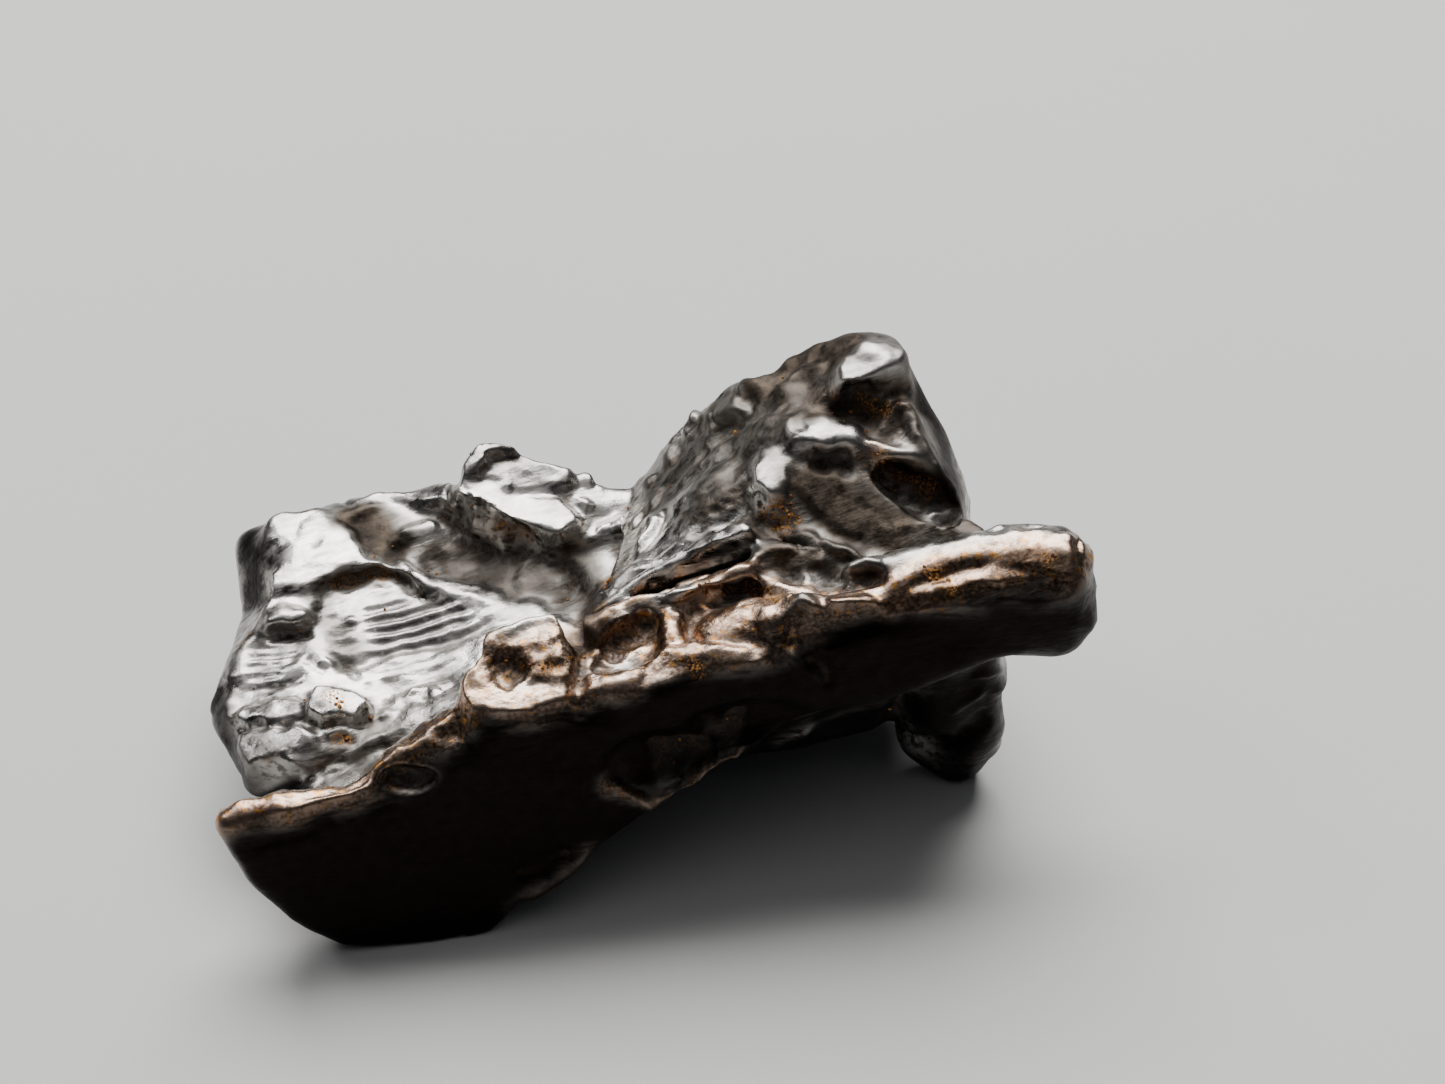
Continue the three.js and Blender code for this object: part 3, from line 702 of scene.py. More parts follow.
# %% Carve the prong and the face of the plate
PRONG_AND_FACE = table("""
face 60 10 12 8 1009,-9 1074,-47
crack 22 20 536,-150 580,-129 669,-91 742,-73 815,-53
crack 20 12 821,-71 904,-82 992,-106 1056,-132
crack 18 10 0 798,-12 807,-38 818,-71
welt 22 8 522,-179 595,-156 669,-132 786,-109 874,-106
boss 24 10 633,-120
pit 26 9 898,-41
pit 22 8 977,0
pit 20 7 945,-53
crest 30 20 -342,-691 -301,-723 -242,-764 -178,-790
crest 30 16 -190,-788 -96,-746 -22,-702 37,-658 101,-632
crest 26 12 134,-620 198,-579 269,-532
welt 22 7 281,-529 375,-500 498,-470
groove 100 35 -242,-655 -125,-617 -7,-567 110,-529
welt 36 16 -619,-1070 -536,-1034 -478,-1011 -419,-970 -363,-923
groove 45 14 -619,-993 -536,-958 -433,-893
groove 50 5 -1042,-905 -1048,-1023 -1030,-1140
groove 60 6 -713,-758 -639,-846 -610,-964
crest 26 12 663,-511 713,-473 780,-429
groove 50 16 683,-567 742,-547 786,-508
welt 24 12 739,-388 786,-388 833,-370
""")

# %% [markdown]
# ## The left lobe
# The lobe looks poured and then torn. A bright flat knob stands at its corner, a ridge runs from it
# to the middle, and below that ridge the metal is drawn out in parallel ribs, as where a blade of
# metal was pulled apart along its crystals. Grooves side by side make the ribs between them.

# %% Carve the knob, the ribs and the terraces
LOBE = table("""
pit 46 13 -1200,3
crack 15 5 -1242,-71 -1177,-44 -1136,-21
ledge 62 26 -1359,-244 -1286,-241 -1192,-250
groove 28 22 -1347,-267 -1271,-273 -1195,-270
crest 40 17 -1130,-35 -1036,-29 -948,-59 -860,-115 -786,-159 -713,-179 -630,-176
groove 38 32 -1203,-138 -1124,-118 -1036,-97 -948,-112 -865,-147
groove 17 9 -1071,-206 -992,-194 -904,-173
groove 18 11 -1077,-241 -992,-229 -874,-203 -766,-170
groove 18 11 -1071,-276 -948,-256 -830,-223 -713,-191
groove 18 11 -1071,-309 -1006,-300 -918,-279 -815,-250 -689,-209
crack 24 20 -1077,-341 -948,-317 -860,-297 -742,-256 -639,-203
crest 22 7 -1059,-259 -948,-238 -830,-206 -742,-179
crest 22 7 -1059,-294 -948,-276 -830,-241 -701,-200
crest 22 6 -1059,-223 -992,-212 -889,-188
boss 22 9 -1150,-209
crack 15 5 -1006,-370 -830,-317 -654,-264
crack 15 5 -942,-435 -830,-394 -754,-359
crack 16 8 -1048,-382 -948,-359 -830,-326
crack 16 7 -786,-288 -683,-247 -595,-223
groove 20 9 -1412,-341 -1315,-332 -1218,-317
groove 20 9 -1424,-435 -1353,-429 -1242,-411
groove 22 10 -1189,-317 -1136,-335 -1089,-370 -1059,-411
groove 16 5 -962,-347 -801,-297 -654,-241
crack 14 5 -1271,-9 -1242,65 -1206,82
groove 16 6 -1400,-317 -1315,-311 -1224,-300
groove 16 6 -1418,-403 -1353,-397 -1271,-379
boss 24 10 -1089,-232
groove 18 9 -1168,-259 -1109,-256 -1065,-250
welt 20 8 -1171,-294 -1109,-282 -1065,-273
groove 17 6 -1030,-429 -948,-397 -860,-376 -742,-335
groove 40 9 -1030,-447 -918,-417 -786,-370
groove 30 6 -1001,-338 -830,-291 -654,-232
groove 30 6 -639,-288 -566,-253 -489,-235
groove 20 10 -1424,-373 -1353,-364 -1286,-350 -1236,-338
groove 20 12 -1359,-432 -1286,-417 -1218,-397
groove 18 6 -1365,-467 -1286,-458 -1230,-441
groove 20 12 -1236,-329 -1197,-361 -1150,-382
face 50 20 12 0 -1406,-517 -1330,-508 -1247,-500
face 60 20 24 -24 -1388,-599 -1312,-591 -1242,-582
groove 20 14 -1430,-555 -1359,-550 -1300,-547 -1218,-552
face 70 10 12 0 -1171,-470 -1095,-476
boss 60 8 -1136,-467
crack 18 7 -1189,-482 -1142,-464 -1089,-473
pit 38 22 -1127,-576
pit 32 22 -989,-467
pit 30 20 -933,-485
pit 28 16 -874,-467
boss 26 12 -912,-438
boss 26 12 -842,-444
boss 30 16 -989,-514
pit 26 16 -1033,-505
pit 26 16 -1042,-423
pit 24 14 -1177,-670
pit 22 12 -1124,-646
welt 24 11 -1209,-696 -1153,-667 -1095,-632 -1030,-588 -954,-544
pit 30 14 -1286,-670
""")

# %% [markdown]
# ## The rear crest
# Behind the basin a curled lip stands like a cut ring, and a low wall joins it to the horn. A
# face stroke bent round the curl gives it a level top that keeps its glint.

# %% Carve the rear crest
REAR = table("""
welt 36 10 -1109,118 -1006,129 -918,126 -824,135
welt 36 17 -948,18 -904,29 -830,50
groove 36 28 -813,76 -727,82 -654,47 -610,12 -525,-12
face 46 18 10 -4 -730,141 -751,188 -736,235 -695,264 -636,276
face 85 20 11 2 -730,126 -654,106 -580,88 -501,71
groove 60 8 -654,182 -580,176 -489,188
boss 32 14 -398,173
boss 32 14 -404,109
welt 40 16 -389,26 -316,47 -234,68
welt 36 16 -248,-18 -219,29 -192,79
boss 42 16 -213,176
boss 28 12 -777,12
groove 26 12 -742,12 -698,-18 -654,-38
pit 50 16 -860,-53
pit 45 14 -595,-53
groove 40 12 -522,-53 -463,-97 -433,-156
""")

# %% [markdown]
# ## The horn and its pleats
# The horn has a rounded tip, a notch under it, and two keen ridges that run down its right side
# to a point. Pleats, thin folds of metal laid side by side, run from its foot to the front ridge:
# a keen crest with a flat top, a groove under it, and low welts that follow its course.

# %% Carve the horn and its pleats
HORN = table("""
face 75 12 10 0 386,494 416,520 445,541
pit 90 7 436,382
pit 42 24 348,391
boss 26 12 375,359
crest 32 20 0.08 522,417 551,353 595,276 654,182 689,115
crest 30 16 404,294 492,276 598,256
groove 56 18 457,226 536,182 610,141 663,112
boss 90 4 275,317
crack 16 6 228,347 263,311 275,282
groove 38 34 257,250 316,229 386,226
face 100 8 19 -8 137,191
groove 28 14 219,235 210,159 245,94 292,15
groove 24 10 245,94 331,41 428,-9
welt 26 12 586,71 639,82 692,91
welt 42 16 -31,359 16,388 66,414
welt 42 16 46,435 87,458 134,485
welt 36 12 128,323 169,353 210,388
groove 50 20 -96,212 -22,300 66,364 154,417
groove 50 18 -160,300 -96,388 -22,441
welt 50 16 -184,212 -125,300 -66,394
groove 45 16 -7,188 66,256 140,300
groove 40 14 -184,123 -96,188 -7,256 81,311
welt 40 14 -160,88 -66,159 22,217 110,276
groove 40 16 169,476 228,520 301,564
welt 40 12 157,429 228,476 316,529
groove 36 12 -242,65 -169,153 -96,235
crest 28 20 87,41 -7,12 -96,-18 -169,-47 -228,-79 -295,-120 -366,-179
groove 28 4 122,3 22,-29 -66,-53 -169,-88 -242,-123 -325,-170
welt 20 9 184,-18 81,-41 -22,-71 -110,-97 -198,-126 -278,-162
face 46 22 11 0 -348,-170 -272,-106 -184,-59 -66,-9 66,32
welt 24 18 -207,-120 -110,-85 -7,-53 87,-21
welt 20 10 -242,-147 -125,-103 -22,-71 75,-41
pit 45 20 157,53
pit 30 12 37,109
pit 28 12 -22,88
pit 28 12 75,138
""")
carve(RIM_AND_LUMPS + PRONG_AND_FACE + LOBE + REAR + HORN)

# %% [markdown]
# ## The sides turned away
# The back, the ends and the underside fell through the same air, so they carry the same marks:
# broad thumb prints where the hot gas ate into the metal, and between them short ridges, cracks
# and pits. No one knows each of these by name, so a seeded random choice lays them. Each stroke
# starts at a point that the camera doesn't see and keeps to the surface as it goes.

# %% Carve the sides turned away
AWAY_SEED = 11
FOOT_HEIGHT = 0.7    # no stroke starts lower, so the feet stay flat
PAST_EDGE_ON = 0.2   # cosine between the line of sight and the normal of a point turned away
AWAY_MARKS = [
    # how many, what, half widths, heights, lengths
    (26, "pit", (1.3, 2.6), (0.22, 0.42), (0, 0)),
    (34, "groove", (0.35, 0.7), (0.12, 0.28), (1.5, 5.0)),
    (46, "crest", (0.30, 0.55), (0.10, 0.20), (1.5, 5.5)),
    (40, "welt", (0.22, 0.40), (0.06, 0.14), (1.0, 3.5)),
    (30, "crack", (0.16, 0.24), (0.08, 0.16), (1.0, 4.0)),
    (70, "pit", (0.25, 0.60), (0.08, 0.22), (0, 0)),
    (40, "boss", (0.24, 0.45), (0.07, 0.14), (0, 0)),
]


def marks_away(marks, seed):
    """Strokes of every kind in the list, spread by chance over the points turned away."""
    chance = np.random.default_rng(seed)
    sight = ((surface.points - np.array(EYE)) * surface.soft).sum(axis=1)
    turned = sight > PAST_EDGE_ON * DISTANCE
    free = np.flatnonzero(turned & (surface.points[:, 2] > FOOT_HEIGHT))
    strokes = []
    for count, kind, widths, heights, lengths in marks:
        for start in chance.choice(free, count):
            heading = Vector(chance.normal(size=3))
            course = (int(start), heading, chance.uniform(*lengths))
            strokes.append((kind, chance.uniform(*widths), chance.uniform(*heights), course))
    return strokes


carve(marks_away(AWAY_MARKS, AWAY_SEED), lay=surface.walked)

# %% [markdown]
# ## Painting masks
# Some things happen only in places: torn metal, bronze tint, rust. A mask is painted with the same
# kind of line as a stroke, and holds a value from 0 to 1 for every point. It does what weight
# painting does by hand, and stays right when the mesh under it changes.

# %% Mask painting
SOLID_SHARE = 0.35    # the inner share of a painted line that has its full strength


def painted(lines):
    """A mask from 0 to 1: each entry is a half width, a strength and a line as seen."""
    mask = np.zeros(len(surface.points))
    for width, strength, line in lines:
        places, _ = surface.pressed(line)
        near = near_to(places, width)
        apart, _, _ = nearest_on_line(surface.loose[near], places)
        shown = strength * (1 - ramp(SOLID_SHARE, 1, apart / width))
        mask[near] = np.maximum(mask[near], shown)
    return mask


def keep(mesh, **values):
    """Masks kept on the mesh under their names, for trees and materials to read."""
    for name, value in values.items():
        layer = mesh.attributes.get(name) or mesh.attributes.new(name, "FLOAT", "POINT")
        layer.data.foreach_set("value", value.astype(np.float32))
        print(f"{name}: mean {value.mean():.2f}")


# %% [markdown]
# ## Fine grain
# The same relief tree again, now with sizes of a fraction of a millimetre, gives the cast metal its
# last small swells and dents. It is faint on the polished parts and full only where the metal tore.

# %% Fine relief
TORN = table("""
90 100 -66,-229 51,-200 154,-229 184,-170
80 90 -66,94 37,123 96,79
90 70 404,388 492,373
50 100 251,-126 281,-53 310,-9
50 90 -1197,-685 -1095,-635 -948,-552 -830,-508
70 70 -1006,-479 -860,-470
60 80 -1168,-479 -1109,-567
70 60 492,35 639,50 771,41
60 90 492,212 610,153
60 70 -536,-317 -463,-376
40 80 -66,-62 51,-32 169,-18
50 80 -169,-88 -272,-147
60 60 -1153,-215 -1109,-288
80 90 154,-29 257,-53 375,-68
90 100 -713,-332 -654,-288 -522,-288 -478,-361
60 90 -713,-458 -536,-455
60 90 -389,-391 -125,-332 96,-332
60 80 -360,-244 -242,-215 -96,-170
""")
keep(stone.data, torn=painted(TORN))
grown(stone, relief, {
    "Swell size": 0.6, "Swell height": 0.13, "Dent size": 0.4, "Dent depth": 0.06,
    "Everywhere": 0.14, "Seed": 8})
surface = Surface(stone.data)

# %% [markdown]
# ## Where the metal is bare, and where it is stained and shaded
# Hands and wind polish what stands proud, and rust and dirt stay where nothing rubs; the hollows
# are darkened with painted shade too. How far a point lies under or over the smoothed surface tells
# the two apart. These measures are kept on the mesh as attributes, so the material can read them
# from any side.

# %% Hollows and edges
FINE, BROAD = 0.2, 0.7      # small and large relief, by the reach it is smoothed over
FINE_WEIGHT = 0.7
LEVEL, LEVEL_WEAR = (0.72, 0.95), 0.85    # faces that look up this much are rubbed too


def height_over(reach):
    """How far each point stands over the surface smoothed over this many mm, in millimetres."""
    flat = smoothed(surface.points, rounds_for(reach))
    return ((surface.points - flat) * surface.soft).sum(axis=1)


def ranked(values, start, full):
    """0 at the value that this share of the points stays under, 1 at the second share's."""
    return ramp(*np.quantile(values, (start, full)), values)


fine, broad = height_over(FINE), height_over(BROAD)
# The hollow mask carries both the brown oxide and painted shade: the material darkens pits and
# creases where shade falls.
hollow = np.maximum(ranked(-fine, 0.88, 0.995) * FINE_WEIGHT, ranked(-broad, 0.82, 0.985))
edge = np.maximum(ranked(fine, 0.80, 0.99) * FINE_WEIGHT, ranked(broad, 0.75, 0.97))
edge = np.maximum(edge, LEVEL_WEAR * ramp(*LEVEL, surface.soft[:, 2]) * (1 - hollow))
hollow, edge = (smoothed(v[:, None], 1)[:, 0] for v in (hollow, edge))
print("the deepest hollows lie", round(float(-broad.min()), 2), "mm under the smoothed surface")

# %% [markdown]
# ## Stains and painted shade, given as lines
# Three masks follow no rule of height. Bronze lies along the front ridge, where the oxide film is
# thin enough to show colour. Rust sits in single spots. Dull patina with painted shade covers the
# steep flanks and slopes that face away from the light, darker than the bare metal. Each is painted
# as a few lines: half width, strength in hundredths, and course.

# %% Painted stains and shade
BRONZE = table("""
100 100 -1491,-829 -1388,-782 -1242,-758 -1095,-714 -948,-641 -801,-547 -742,-464
130 100 -742,-450 -654,-347 -536,-332 -360,-288 -213,-288 -66,-244 110,-200
80 90 -742,-470 -536,-470 -360,-411 -184,-359 -7,-320 140,-306 287,-223 463,-188
50 90 -383,-212 -242,-159 -66,-109 81,-62 184,-44
120 100 463,-156 610,-126 757,-82 904,-53 1036,-53
60 90 134,-123 228,-141 345,-159 457,-135
90 50 316,417 433,388 522,417
80 60 433,241 551,212 639,153
40 90 -336,-699 -242,-764 -184,-788 -66,-735 101,-632
50 50 -610,-1067 -478,-1011 -369,-926
""")
RUST = table("""
50 100 160,88 192,50
30 90 -336,-112 -325,-103
35 50 -1153,-120 -1065,-103 -992,-106
28 90 -1142,-444 -1118,-464
26 90 -1130,-576 -1109,-588
22 80 -1353,-641 -1315,-632
35 70 -542,-347 -478,-370
35 70 -639,29 -566,15
30 90 604,-88 663,-126
28 80 918,-41 948,-53
40 80 -66,-150 110,-141 154,-170
30 80 -96,-341 -66,-382
45 70 478,256 522,212 595,167
35 60 404,432 492,388
28 80 -1400,-276 -1383,-259
""")
# Dull patina and painted shade: darker, rougher metal on the flanks and slopes that face away from
# the light.
DULL_AND_SHADE = table("""
110 100 -1089,65 -1030,29 -971,-9
110 80 -830,-41 -654,-88 -478,-135
80 60 -786,65 -654,21
160 100 287,153 404,88 492,50
100 90 375,388 478,359
70 90 536,373 595,300
80 70 507,491 566,417
200 90 557,482 627,329 674,194
90 80 -433,-47 -383,-141 -413,-288
120 30 375,500 478,558
90 90 -1042,71 -977,-9
80 90 -66,100 51,138
180 80 -178,159 -96,256 51,417
180 100 154,482 242,529 345,573
100 90 389,12 522,6 669,35 771,41
110 90 169,423 228,441 263,388
160 80 -22,197 81,300 154,373
90 90 154,-32 257,-41 375,-53
60 90 110,35 228,18 360,-12
50 70 -1195,-141 -1095,-106 -948,-118
70 50 -1153,-244 -1109,-317
90 60 -1153,-641 -1006,-567
""")
bronze, rust, dull = painted(BRONZE), painted(RUST), painted(DULL_AND_SHADE)
print("painted lines:", len(BRONZE), "bronze,", len(RUST), "rust,", len(DULL_AND_SHADE), "dull")

# %% [markdown]
# ## Painted shade on the front
# The flat front of the plate, the underside and the steep ends stand in the stone's own shade, and
# that shade is painted into their colour as a near-black, rougher skin. The front is found by rule:
# points near the plate's front plane that face forward. The underside is every point that faces
# down. The ends are painted.

# %% Painted shade on the front, the underside and the ends
PLATE_AT = np.array((-6.12, -6.62, 0.0))
PLATE_OUT = unit(np.array([[0.207, -0.974, 0.087]]))[0]
# where the painted shade begins and where it is full: mm from the plane, then how far a point faces
# its way, then how far it faces down
PLATE_DEPTH, PLATE_FACING, UNDERSIDE = (-2.6, -1.4), (0.25, 0.75), (0.0, 0.4)
RUBBED_OFF = 0.35    # how much of it is gone where the bronze shows
SHADE_ROUNDS = 4
PAINTED_SHADE_LINES = table("""
100 100 -1388,6 -1374,-141
80 90 -1488,-464 -1462,-597 -1388,-699
90 90 1100,-141 1095,-229 1036,-323
100 100 316,-317 522,-259 815,-244 1051,-244
160 100 610,-479 698,-582
160 100 698,-411 786,-464 771,-582
90 80 595,417 654,270 683,153
120 90 771,-435 771,-582 698,-670
""")
# Painted shade: a near-black colour on the forward-facing front, the downward-facing underside and
# the listed ends, which stand in the stone's shade.
in_front = (surface.points - PLATE_AT) @ PLATE_OUT
crust = ramp(*PLATE_DEPTH, in_front) * ramp(*PLATE_FACING, surface.soft @ PLATE_OUT)
under = ramp(*UNDERSIDE, -surface.soft[:, 2])
crust = np.maximum.reduce([crust * (1 - RUBBED_OFF * bronze), under, painted(PAINTED_SHADE_LINES)])
crust = smoothed(crust[:, None], SHADE_ROUNDS)[:, 0]
keep(stone.data, hollow=hollow, edge=edge, bronze=bronze, rust=rust, crust=crust, dull=dull)

# %% [markdown]
# ## The iron
# Polished nickel iron is a warm grey mirror, so its colour is light and its metallic value is full.
# What makes it read as old is that the mirror is broken: fine streaks are drawn out over it, dark
# patina with painted shade dulls its flanks, near-black painted shade covers its front, a bronze
# tint lies along the ridge, and hollows hold brown oxide with painted shade that isn't a mirror at
# all. All of it is mixed from noise and from the masks on the mesh, in the object's own
# coordinates, so it stays in place from every side.

# %% Material helpers
def per_mm(size):
    """The scale at which one cell of a pattern is this many millimetres wide."""
    return 1 / (size * MM)


def attribute(tree, name):
    return add(tree, "ShaderNodeAttribute", attribute_name=name).outputs["Fac"]


def mixed(tree, amount, first, second):
    """Two colours mixed by an amount."""
    sockets = {0: amount, 6: first, 7: second}
    return add(tree, "ShaderNodeMix", sockets, data_type="RGBA").outputs[2]


def spread(tree, value, low, high, to_low=0.0, to_high=1.0):
    """A value stretched from one range to another and kept inside it."""
    sockets = dict(enumerate((value, low, high, to_low, to_high)))
    node = add(tree, "ShaderNodeMapRange", sockets, interpolation_type="SMOOTHSTEP")
    return node.outputs[0]


def times(tree, first, second):
    return maths(tree, "MULTIPLY", first, second, use_clamp=True)


def cloud(tree, place, size, detail=4.0, roughness=0.55):
    """A noise with cells this many millimetres wide."""
    sockets = {
        "Vector": place, "Scale": per_mm(size), "Detail": detail, "Roughness": roughness}
    return add(tree, "ShaderNodeTexNoise", sockets).outputs[0]


# %% Patterns and masks the iron is mixed from
STREAK_TURN, STREAK_LENGTH = 0.41, 5
nodes = iron.node_tree
shader = nodes.nodes["Principled BSDF"]
place = add(nodes, "ShaderNodeTexCoord").outputs["Object"]
drawn_out = add(nodes, "ShaderNodeMapping", {
    "Vector": place, "Rotation": (0, 0, STREAK_TURN), "Scale": (STREAK_LENGTH, 1, 1)},
    vector_type="TEXTURE")
drawn = cloud(nodes, drawn_out.outputs[0], 0.22, 3.0, 0.55)
patches = cloud(nodes, place, 2.4)
grain = cloud(nodes, place, 0.35, 5.0, 0.6)
speckle = cloud(nodes, place, 0.12, 3.0, 0.6)
glints = cloud(nodes, place, 0.2, 1.0, 0.5)
dust = cloud(nodes, place, 0.07, 2.0, 0.5)
wear, hollows, torn, in_bronze, in_rust, in_crust, in_dull = (
    attribute(nodes, name)
    for name in ("edge", "hollow", "torn", "bronze", "rust", "crust", "dull"))
print("patterns from 0.07 to 2.4 mm wide")

# %% Bare metal and the bronze ridge
bare = mixed(nodes, spread(nodes, patches, 0.35, 0.65), linear("#8f8b87"), linear("#c6c2bc"))
streaks = times(nodes, spread(nodes, drawn, 0.44, 0.64), spread(nodes, wear, 0.2, 0.8, 1.0, 0.25))
bare = mixed(nodes, streaks, bare, linear("#56504b"))
brown = mixed(nodes, spread(nodes, patches, 0.4, 0.6), linear("#38271b"), linear("#63452f"))
on_edges = times(nodes, wear, spread(nodes, grain, 0.42, 0.60, 0.9, 0.25))
rubbed = maths(nodes, "MULTIPLY_ADD", spread(nodes, speckle, 0.36, 0.70), 0.75, on_edges,
               use_clamp=True)
ridge = mixed(nodes, rubbed, brown, linear("#b59a86"))
ridge = mixed(nodes, spread(nodes, glints, 0.61, 0.68), ridge, linear("#bd8646"))
tint = times(nodes, in_bronze, spread(nodes, grain, 0.2, 0.5, 0.6, 1.0))
tinted = mixed(nodes, tint, bare, ridge)
print("bare metal and its bronze tint take", len(nodes.nodes), "nodes")

# %% [markdown]
# ## Layers over the metal
# Each layer is mixed over the one below: patina with painted shade and the near-black painted shade
# first, then brown oxide with painted shade in the hollows, and orange rust on top. So one mask
# never has to know of another.

# %% Patina, painted shade, oxide and rust over it
# Patina and painted shade on the flanks that face away from the light.
patina_and_shade_colour = mixed(nodes, spread(nodes, grain, 0.25, 0.75), linear("#241f1b"), linear("#554c43"))
with_patina_and_shade = mixed(nodes, in_dull, tinted, patina_and_shade_colour)
# Painted shade: near-black over the front, the underside and the ends.
with_painted_shade = mixed(nodes, in_crust, with_patina_and_shade, linear("#15110f"))
# Brown oxide and painted shade in the hollows: dark where pits and creases hold oxide and fall in
# shade.
oxide_and_shade = mixed(nodes, spread(nodes, speckle, 0.4, 0.62), linear("#17120f"), linear("#46341f"))
oxide_and_shade_amount = times(nodes, hollows, spread(nodes, grain, 0.35, 0.6, 0.2, 0.9))
with_oxide_and_shade = mixed(nodes, oxide_and_shade_amount, with_painted_shade, oxide_and_shade)
orange = mixed(nodes, spread(nodes, dust, 0.4, 0.65), linear("#5a2a12"), linear("#b98038"))
rusted = times(nodes, in_rust, spread(nodes, dust, 0.46, 0.6))
nodes.links.new(mixed(nodes, rusted, with_oxide_and_shade, orange), shader.inputs["Base Color"])

# %% [markdown]
# ## Gloss and fine bumps
# Oxide and rust take the mirror away; the masks of patina and of painted shade blur it. Bumps too
# small for the mesh do the rest: a speckle like fine sand, the grain of the casting, which is
# strong where the metal tore, and the drawn streaks. A normal map could hold them, but it would
# have to be made for this shape.

# %% Gloss
no_mirror = maths(nodes, "MAXIMUM", hollows, rusted)
nodes.links.new(spread(nodes, no_mirror, 0.0, 1.0, 1.0, 0.4), shader.inputs["Metallic"])
gloss = spread(nodes, grain, 0.3, 0.7, 0.22, 0.38)
veil = maths(nodes, "MULTIPLY_ADD", in_dull, 0.22, gloss)
painted_shade_gloss = maths(nodes, "MULTIPLY_ADD", in_crust, 0.20, veil)
rough = maths(nodes, "MULTIPLY_ADD", no_mirror, 0.3, painted_shade_gloss, use_clamp=True)
nodes.links.new(rough, shader.inputs["Roughness"])

# %% Bumps
crumpled = maths(nodes, "MULTIPLY_ADD", torn, 0.6, 0.25, use_clamp=True)
drawn_strength = spread(nodes, wear, 0.2, 0.8, 0.5, 0.2)
below = {}
# pattern, strength, height in millimetres
for pattern, strength, height in (
        (speckle, 0.4, 0.008), (grain, crumpled, 0.05), (drawn, drawn_strength, 0.06)):
    bump = add(nodes, "ShaderNodeBump", {
        "Strength": strength, "Distance": height * MM, "Height": pattern, **below})
    below = {"Normal": bump.outputs[0]}
nodes.links.new(below["Normal"], shader.inputs["Normal"])
print(len(nodes.nodes), "nodes in", iron.name)

# %% [markdown]
# ## Fewer faces where they aren't needed
# An even grid spends as many faces on a plain wall as on a crumpled ridge. Decimate joins faces
# where the surface is nearly flat, and a vertex group makes it start on the side turned away. The
# stone also stands on its feet, so nothing of it may dip under the floor.

# %% Thin the mesh
MOST_TRIANGLES = 196000
SEEN_WEIGHT = 0.5
GROUP_FACTOR = 0.0001    # how hard the group steers, and already a little is enough
points = read(stone.data.vertices, "co")
points[:, 2] = np.maximum(points[:, 2], 0.0)
write_points(stone.data, points)
facing_eye = ((np.array(EYE) - points) * surface.soft).sum(axis=1) > 0
group = stone.vertex_groups.new(name="thin_first")
group.add(np.flatnonzero(~facing_eye).tolist(), 1.0, "REPLACE")
group.add(np.flatnonzero(facing_eye).tolist(), SEEN_WEIGHT, "REPLACE")
thin = stone.modifiers.new("thin", "DECIMATE")
thin.ratio = MOST_TRIANGLES / (2 * len(stone.data.polygons))
thin.vertex_group = group.name
thin.vertex_group_factor = GROUP_FACTOR
baked(stone)
print("triangles:", sum(len(p.vertices) - 2 for p in stone.data.polygons))

# %% [markdown]
# ## Grains of rust
# In the deep pits the rust isn't only a colour: it stands up in loose grains a few hundredths of a
# millimetre across. Geometry Nodes scatters small faceted balls over the stone, more of them where
# the rust mask is high and a few in other hollows, gives each its own size and turn, and makes them
# real mesh. Each ball is half sunk, so it sits in the metal like a crumb in wax.

# %% Rust grain tree
GRAIN_SEED = 5
TRIANGLES_PER_GRAIN = 20
grain_iron_oxide = bpy.data.materials.new("loose_iron_oxide_grains")
grain_iron_oxide.use_nodes = True


def grain_tree(material):
    tree, given = geometry_tree("rust_grains", {
        "Per mm2 in rust": 11.0, "Per mm2 in hollows": 2.0, "Smallest": 0.025, "Largest": 0.07})
    density = maths(tree, "MULTIPLY", stored(tree, "rust"), given["Per mm2 in rust"])
    density = maths(tree, "MULTIPLY_ADD", stored(tree, "hollow"),
                    given["Per mm2 in hollows"], density)
    scattered = add(tree, "GeometryNodeDistributePointsOnFaces", {
        "Mesh": given["Mesh"], "Density": density, "Seed": GRAIN_SEED})
    ball = add(tree, "GeometryNodeMeshIcoSphere", {"Radius": 1.0, "Subdivisions": 1})
    size = add(tree, "FunctionNodeRandomValue", {
        "Min": given["Smallest"], "Max": given["Largest"], "Seed": GRAIN_SEED}, data_type="FLOAT")
    uneven, turn = (
        add(tree, "FunctionNodeRandomValue", {0: (low,) * 3, 1: (high,) * 3, "Seed": seed},
            data_type="FLOAT_VECTOR").outputs[0]
        for low, high, seed in ((0.6, 1.3, GRAIN_SEED + 1), (0, math.tau, GRAIN_SEED + 2)))
    grains = add(tree, "GeometryNodeInstanceOnPoints", {
        "Points": scattered.outputs[0], "Instance": ball.outputs[0], "Rotation": turn,
        "Scale": scaled(tree, uneven, size.outputs[1])})
    return ended(tree, grains.outputs[0], material)


grains = as_object("rust_grains", stone.data.copy())
grown(grains, grain_tree(grain_iron_oxide), {"Largest": 0.07})
print(len(grains.data.polygons) // TRIANGLES_PER_GRAIN, "grains")

# %% [markdown]
# ## Grain colour
# Dry rust is a powder of iron oxide: dull, with no mirror in it, and anything from dark brown to
# yellow ochre from one grain to the next. The pattern is a little wider than a grain, so that each
# grain gets about one colour.

# %% Grain material
rust_nodes = grain_iron_oxide.node_tree
rust_shader = rust_nodes.nodes["Principled BSDF"]
rust_place = add(rust_nodes, "ShaderNodeTexCoord").outputs["Object"]
which = spread(rust_nodes, cloud(rust_nodes, rust_place, 0.16, 1.0, 0.5), 0.35, 0.65)
ochre = mixed(rust_nodes, which, linear("#4a2410"), linear("#a8702c"))
rust_nodes.links.new(ochre, rust_shader.inputs["Base Color"])
rust_shader.inputs["Roughness"].default_value = 0.75
print("grain material", grain_iron_oxide.name)

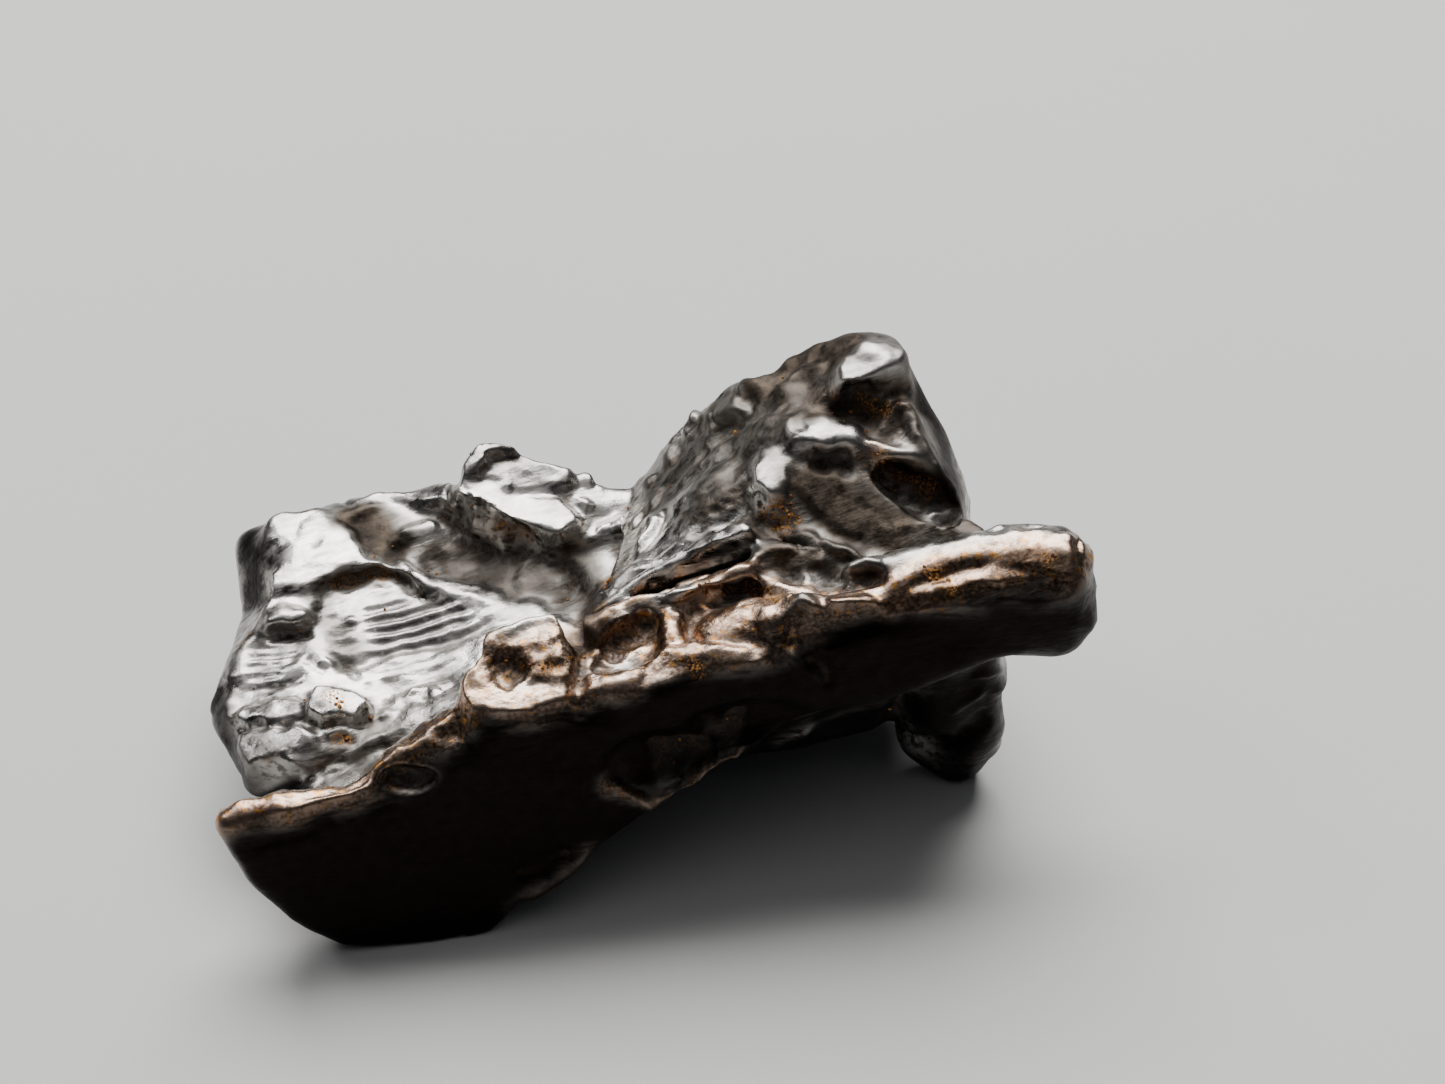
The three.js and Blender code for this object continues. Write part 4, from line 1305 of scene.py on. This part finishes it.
# %% [markdown]
# ## Back to real size
# The carved skin and its grains shrink to their real size and take the solid's place. Their points
# already lie where the solid's do, so nothing is moved.

# %% Finish the stone
for piece in (stone, grains):
    write_points(piece.data, read(piece.data.vertices, "co") * MM)
    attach(piece, BODY)
    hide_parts(NODE)
stone.data.shade_smooth()
grains.data.shade_flat()
print("stone and grains ride on", BODY)

# %% [markdown]
# ## Floor
# A plain pale sheet of matt paper, far larger than the stone. A faint mottle keeps it from looking
# like an empty screen.

# %% Floor
FLOOR_SIZE = 1.6
bpy.ops.mesh.primitive_plane_add(size=FLOOR_SIZE)
floor = bpy.context.object
floor.name = "floor"
pale = bpy.data.materials.new("matt_pale_floor")
pale.use_nodes = True
paper = pale.node_tree
floor_shader = paper.nodes["Principled BSDF"]
floor_shader.inputs["Roughness"].default_value = 0.9
mottle = cloud(paper, add(paper, "ShaderNodeTexCoord").outputs["Object"], 30.0)
paper.links.new(mixed(paper, mottle, linear("#bcbbb9"), linear("#c4c3c1")),
                floor_shader.inputs["Base Color"])
floor.data.materials.append(pale)
print("floor", FLOOR_SIZE, "m wide")

# %% [markdown]
# ## Light
# Bright metal shows its lights more than itself. One wide soft box hangs behind the stone and looks
# down over it: it draws the white glints along every top edge and leaves the front in shade. A
# small one at the left lights the facets that lean that way, and a weak one overhead and a dim
# room fill the rest.

# %% Lights and room
ROOM_STRENGTH = 0.5
SOFTBOXES = [
    # name, degrees round from straight behind, degrees up, metres away, size in metres, watts
    ("softbox_behind", 0, 60, 0.35, (0.34, 0.26), 3.0),
    ("small_softbox_left", -75, 46, 0.35, (0.10, 0.10), 0.22),
    ("overhead_fill", 180, 75, 0.45, (0.55, 0.40), 0.28),
]


def softbox(name, turn, height, distance, size, watts):
    """A rectangular light that looks at the stone."""
    data = bpy.data.lights.new(name, "AREA")
    data.shape = "RECTANGLE"
    data.size, data.size_y = size
    data.energy = watts
    a, e = math.radians(turn), math.radians(height)
    at = Vector((math.sin(a) * math.cos(e), math.cos(a) * math.cos(e), math.sin(e))) * distance
    print(name, "at", [round(v, 2) for v in placed(name, data, at + AIM * MM, -at).location])


for box in SOFTBOXES:
    softbox(*box)
world = bpy.data.worlds.new("dim_room")
bpy.context.scene.world = world
world.use_nodes = True
background = world.node_tree.nodes["Background"].inputs
background["Color"].default_value = linear("#5a5d62")
background["Strength"].default_value = ROOM_STRENGTH
